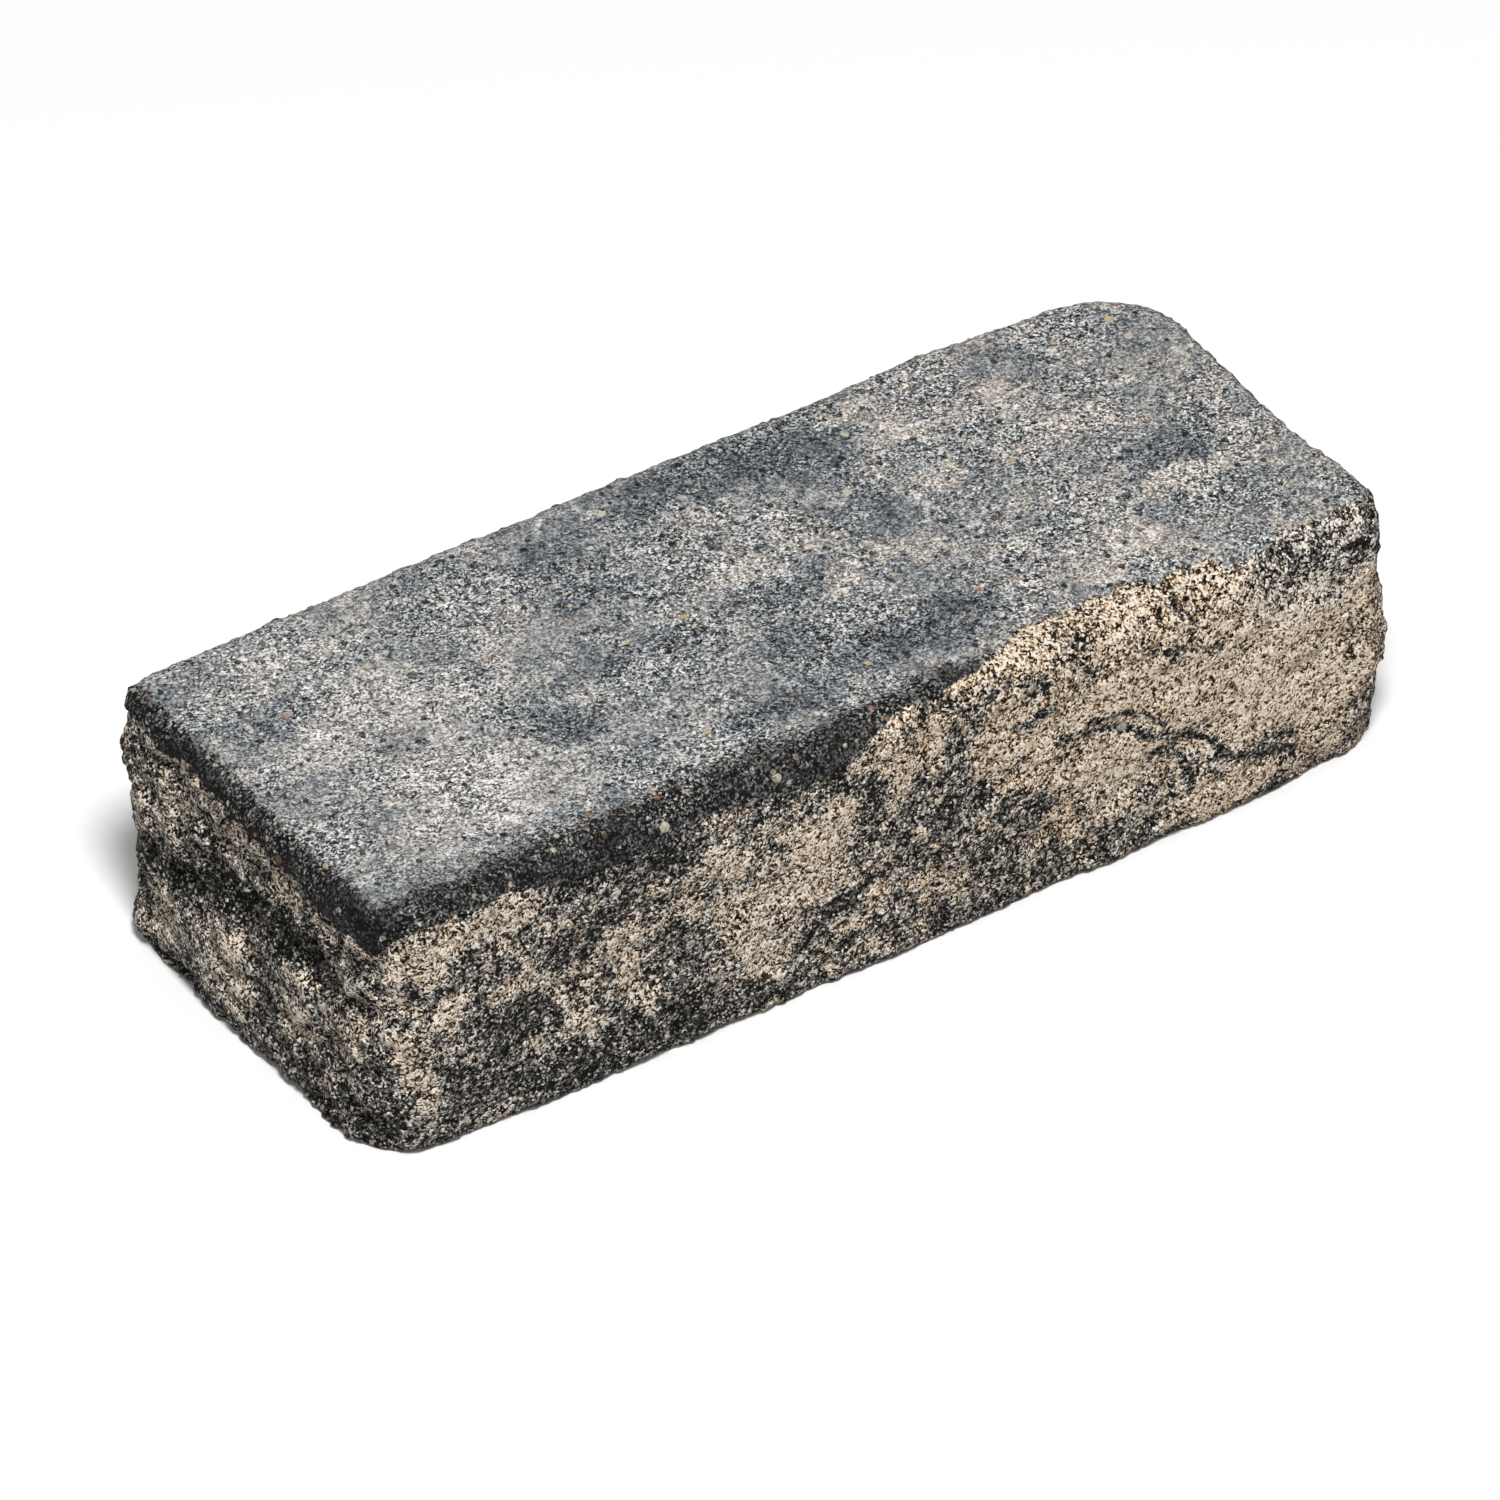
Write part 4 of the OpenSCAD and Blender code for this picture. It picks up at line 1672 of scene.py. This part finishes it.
    def _stony(self, bench: NodeBench, grain: Grain, colour: object, chip: object, chip_kind: object,
               crumb: object, crumb_kind: object) -> bpy.types.NodeSocket:
        """Lays the colours of the chips and crumbs over the concrete.

        Args:
            bench: The material's nodes.
            grain: The patterns.
            colour: Colour of the concrete.
            chip: Cover of the chips.
            chip_kind: Random number of each chip.
            crumb: Cover of the crumbs.
            crumb_kind: Random number of each crumb.

        Returns:
            The socket of the colour.
        """
        low, high = self.stone_fade
        for stones, cover, kind in ((self.crumbs, crumb, crumb_kind), (self.chips, chip, chip_kind)):
            stone = bench.ramp(kind, self.chip_stops, True)
            shown = bench.spread(grain.sand, *self.stone_sand, stones.cover + low, stones.cover + high)
            colour = bench.blend(bench.times(cover, shown), colour, stone)
        return colour

    def _frayed(self, bench: NodeBench, grain: Grain, skin: object,
                crust: object) -> tuple[bpy.types.NodeSocket, bpy.types.NodeSocket]:
        """Frays the ends of the moulded skin and the crust, grain by grain.

        Args:
            bench: The material's nodes.
            grain: The patterns.
            skin: Share of moulded skin, with soft ends.
            crust: Share of charcoal crust, with soft ends.

        Returns:
            The shares of skin and crust with frayed ends.
        """
        patterns = zip((grain.mottle, grain.marble, grain.pick), self.ragged_gains)
        ragged = bench.total(*(bench.weighed(pattern, gain) for pattern, gain in patterns))
        speckled = bench.total(crust, ragged, bench.weighed(grain.pick, self.crust_pick))
        worn = bench.times(ragged, bench.spread(skin, *self.wear_starts, self.torn_wear, 1.0))
        return (bench.spread(bench.total(skin, worn), *self.skin_edge),
                bench.spread(speckled, *self.crust_edge))

    def _level(self, bench: NodeBench, grain: Grain, share: object, skin: object, crust: object,
               hollow_shade: object) -> bpy.types.NodeSocket:
        """Paleness of the concrete, down to its single grains of sand.

        Args:
            bench: The material's nodes.
            grain: The patterns.
            share: Share of cream pigment.
            skin: Share of moulded skin.
            crust: Share of charcoal crust.
            hollow_shade: How hollow the place is; painted shade darkens it there.

        Returns:
            The socket of the level.
        """
        reach = bench.spread(share, *self.cream_reach)
        level = bench.mixed(skin, bench.curve(reach, self.split_levels),
                            bench.curve(reach, self.skin_levels))
        level = bench.mixed(crust, level, self.crust_level)
        pigment = bench.spread(share, *self.cream_edge)
        coarse = bench.mixed(crust, bench.ends(skin, self.coarse_gain), self.crust_coarse)
        level = bench.total(level, self._speckle(bench, grain, pigment, skin, crust),
                            bench.weighed(grain.mottle, coarse))
        # Painted shade in the hollows of the relief
        level = bench.less(level, bench.times(hollow_shade, self.hollow_shade_depth))
        splash = bench.spread(self.splashes.read(bench), *self.splash_edge)
        splash = bench.times(splash, bench.less(skin, crust, True))
        return bench.total(level, bench.times(splash, self.splash_gain))

    def _colour(self, bench: NodeBench, level: object, pigment: object, skin: object, crust: object,
                blush: object) -> bpy.types.NodeSocket:
        """Colour of the concrete at its level: warm where cream is torn, cool on the moulded skin.

        Args:
            bench: The material's nodes.
            level: Paleness of the concrete.
            pigment: Cream against charcoal.
            skin: Share of moulded skin.
            crust: Share of charcoal crust.
            blush: Warmth of the block's own cream.

        Returns:
            The socket of the colour.
        """
        warmth = bench.mixed(skin, bench.ends(pigment, self.torn_warmth),
                             bench.ends(pigment, self.skin_warmth))
        warmth = bench.mixed(crust, bench.times(warmth, blush, True), self.crust_warmth)
        blue = bench.less(skin, bench.times(crust, self.crust_grey), True)
        cool = bench.blend(blue, bench.ramp(level, self.grey_stops), bench.ramp(level, self.cool_stops))
        return bench.blend(warmth, cool, bench.ramp(level, self.warm_stops))

    def dress(self, block: bpy.types.Object) -> None:
        """Gives the block its material.

        Args:
            block: The skin, which carries the cream, skin, crust, hollow_shade (painted shade in hollows)
                and blush values.
        """
        bench = NodeBench("cast_concrete")
        names = ("cream", "skin", "crust", "hollow_shade", "blush")
        cream, skin, crust, hollow_shade, blush = (bench.attribute(name) for name in names)
        rim = bench.times(bench.times(crust, 4.0), bench.less(1.0, crust), True)
        place = bench.bent(self.bend_pitch, self.bend_reach)
        grain = self._grain(bench, place)
        share = self._share(bench, grain, cream, skin)
        skin, crust = self._frayed(bench, grain, skin, crust)
        level = self._level(bench, grain, share, skin, crust, hollow_shade)
        pigment = bench.spread(share, *self.cream_edge)
        colour = self._colour(bench, level, pigment, skin, crust, blush)
        chip, chip_kind = self.chips.lay(bench, place, rim)
        crumb, crumb_kind = self.crumbs.lay(bench, place, rim)
        colour = self._stony(bench, grain, colour, chip, chip_kind, crumb, crumb_kind)
        pore, _ = self.pores.lay(bench, place, rim)
        # The pores' near black is painted shade
        colour = bench.blend(bench.times(pore, self.pores.cover), colour, self.pore_shade_colour)
        bench.feed(bench.shader.inputs["Base Color"], colour)
        rough = bench.spread(bench.total(grain.mottle, grain.grain), *self.rough_from, *self.roughness)
        bench.feed(bench.shader.inputs["Roughness"], rough)
        bench.shader.inputs["Specular IOR Level"].default_value = self.specular
        self._bump(bench, grain, skin, chip, pore)
        block.data.materials.append(bench.material)

    def _bump(self, bench: NodeBench, grain: Grain, skin: object, chip: object, pore: object) -> None:
        """Gives the shader the relief that is finer than the mesh.

        Args:
            bench: The material's nodes.
            grain: The patterns.
            skin: Share of moulded skin.
            chip: Cover of the chips.
            pore: Cover of the pores.
        """
        height = bench.times(bench.less(grain.sand, grain.gap), self.sand_height)
        height = bench.total(height, bench.times(grain.mottle, self.mottle_height),
                             bench.times(grain.grain, self.grain_height))
        height = bench.times(height, bench.ends(skin, self.bump_share))
        height = bench.total(height, bench.times(chip, self.chip_height))
        height = bench.less(height, bench.times(pore, self.pore_depth))
        bump = bench.tree.nodes.new("ShaderNodeBump")
        bump.inputs["Strength"].default_value = 1.0
        bump.inputs["Distance"].default_value = 1.0
        bench.feed(bump.inputs["Height"], height)
        bench.feed(bench.shader.inputs["Normal"], bump.outputs["Normal"])


@dataclass
class Studio:
    """Pale floor, soft light and the camera."""

    azimuth: float = -34.23
    elevation: float = 38.05
    distance: float = 5.555
    lens: float = 409.0
    aim_right: float = -3.1 * MM
    aim_up: float = -13.2 * MM
    floor_size: float = 8.0
    key_watts: float = 172.0
    key_size: float = 1.0
    key_from: tuple[float, float, float] = (-1.0, -1.9, 3.9)
    sky: float = 0.34
    floor_bounce: float = 0.45
    floor_roughness: float = 0.9
    floor_specular: float = 0.1

    def stand_camera(self, target: Vector) -> None:
        """Puts up the camera.

        Args:
            target: Middle of the block.
        """
        around, above = math.radians(self.azimuth), math.radians(self.elevation)
        back = Vector((math.sin(around) * math.cos(above), -math.cos(around) * math.cos(above),
                       math.sin(above)))
        right = Vector((math.cos(around), math.sin(around), 0))
        aim = target + right * self.aim_right + back.cross(right) * self.aim_up
        data = bpy.data.cameras.new("camera")
        data.lens = self.lens
        camera = bpy.data.objects.new("camera", data)
        camera.location = aim + back * self.distance
        camera.rotation_euler = back.to_track_quat("Z", "Y").to_euler()
        bpy.context.collection.objects.link(camera)
        bpy.context.scene.camera = camera

    @staticmethod
    def _seen(tree: bpy.types.NodeTree) -> bpy.types.NodeSocket:
        """Where a ray comes from the camera, straight or by way of gloss or glass.

        Args:
            tree: The nodes of a material or of the world.

        Returns:
            The socket, which gives 1 for such a ray and 0 for any other.
        """
        path = tree.nodes.new("ShaderNodeLightPath")
        seen = path.outputs["Is Camera Ray"]
        for name in ("Is Glossy Ray", "Is Transmission Ray"):
            either = tree.nodes.new("ShaderNodeMath")
            either.operation = "MAXIMUM"
            tree.links.new(seen, either.inputs[0])
            tree.links.new(path.outputs[name], either.inputs[1])
            seen = either.outputs[0]
        return seen

    def lay_floor(self, level: float) -> None:
        """Lays the floor at a height.

        Args:
            level: The floor's height.
        """
        half = self.floor_size / 2
        corners = [(half * x, half * y, level) for x, y in ((-1, -1), (1, -1), (1, 1), (-1, 1))]
        mesh = bpy.data.meshes.new("floor")
        mesh.from_pydata(corners, [], [(0, 1, 2, 3)])
        floor = bpy.data.objects.new("floor", mesh)
        bpy.context.collection.objects.link(floor)
        bench = NodeBench("pale_floor")
        seen = self._seen(bench.tree)
        bounce = (self.floor_bounce, self.floor_bounce, self.floor_bounce, 1)
        bench.feed(bench.shader.inputs["Base Color"], bench.blend(seen, bounce, (1, 1, 1, 1)))
        bench.shader.inputs["Roughness"].default_value = self.floor_roughness
        bench.shader.inputs["Specular IOR Level"].default_value = self.floor_specular
        mesh.materials.append(bench.material)

    def hang_lamps(self) -> None:
        """Hangs the key lamp above the front left of the block."""
        data = bpy.data.lights.new("key", "AREA")
        data.shape = "DISK"
        data.size, data.energy = self.key_size, self.key_watts
        lamp = bpy.data.objects.new("key", data)
        lamp.location = self.key_from
        lamp.rotation_euler = Vector(self.key_from).to_track_quat("Z", "Y").to_euler()
        bpy.context.collection.objects.link(lamp)

    def set_sky(self) -> None:
        """Lights the scene evenly all round, and shows white to the camera."""
        world = bpy.data.worlds.new("studio")
        bpy.context.scene.world = world
        world.use_nodes = True
        tree = world.node_tree
        sky = tree.nodes["Background"]
        sky.inputs["Strength"].default_value = self.sky
        sky.inputs["Color"].default_value = (1, 1, 1, 1)
        white = tree.nodes.new("ShaderNodeBackground")
        white.inputs["Color"].default_value = (1, 1, 1, 1)
        mix = tree.nodes.new("ShaderNodeMixShader")
        tree.links.new(self._seen(tree), mix.inputs[0])
        tree.links.new(sky.outputs[0], mix.inputs[1])
        tree.links.new(white.outputs[0], mix.inputs[2])
        tree.links.new(mix.outputs[0], tree.nodes["World Output"].inputs["Surface"])

    def build(self, low: np.ndarray, high: np.ndarray) -> None:
        """Sets up the whole studio round the block.

        Args:
            low: Lowest corner of the block.
            high: Highest corner of the block.
        """
        self.stand_camera(Vector((low + high) / 2))
        self.lay_floor(low[2])
        self.hang_lamps()
        self.set_sky()
        bpy.context.scene.view_settings.view_transform = "Standard"


def main() -> None:
    """Builds the block and its studio."""
    logging.basicConfig(level=logging.INFO, format="%(name)s: %(message)s")
    skin = BlockSkin(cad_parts["block"], RoughRelief(), Tones())
    block = skin.build()
    finish = CastConcrete()
    finish.dress(block)
    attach(block, "root")
    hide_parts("block")
    log.info("%s dressed as %s", block.name, finish.slot)
    Studio().build(skin.low, skin.high)
    log.info("studio ready")


if __name__ == "__main__":
    main()
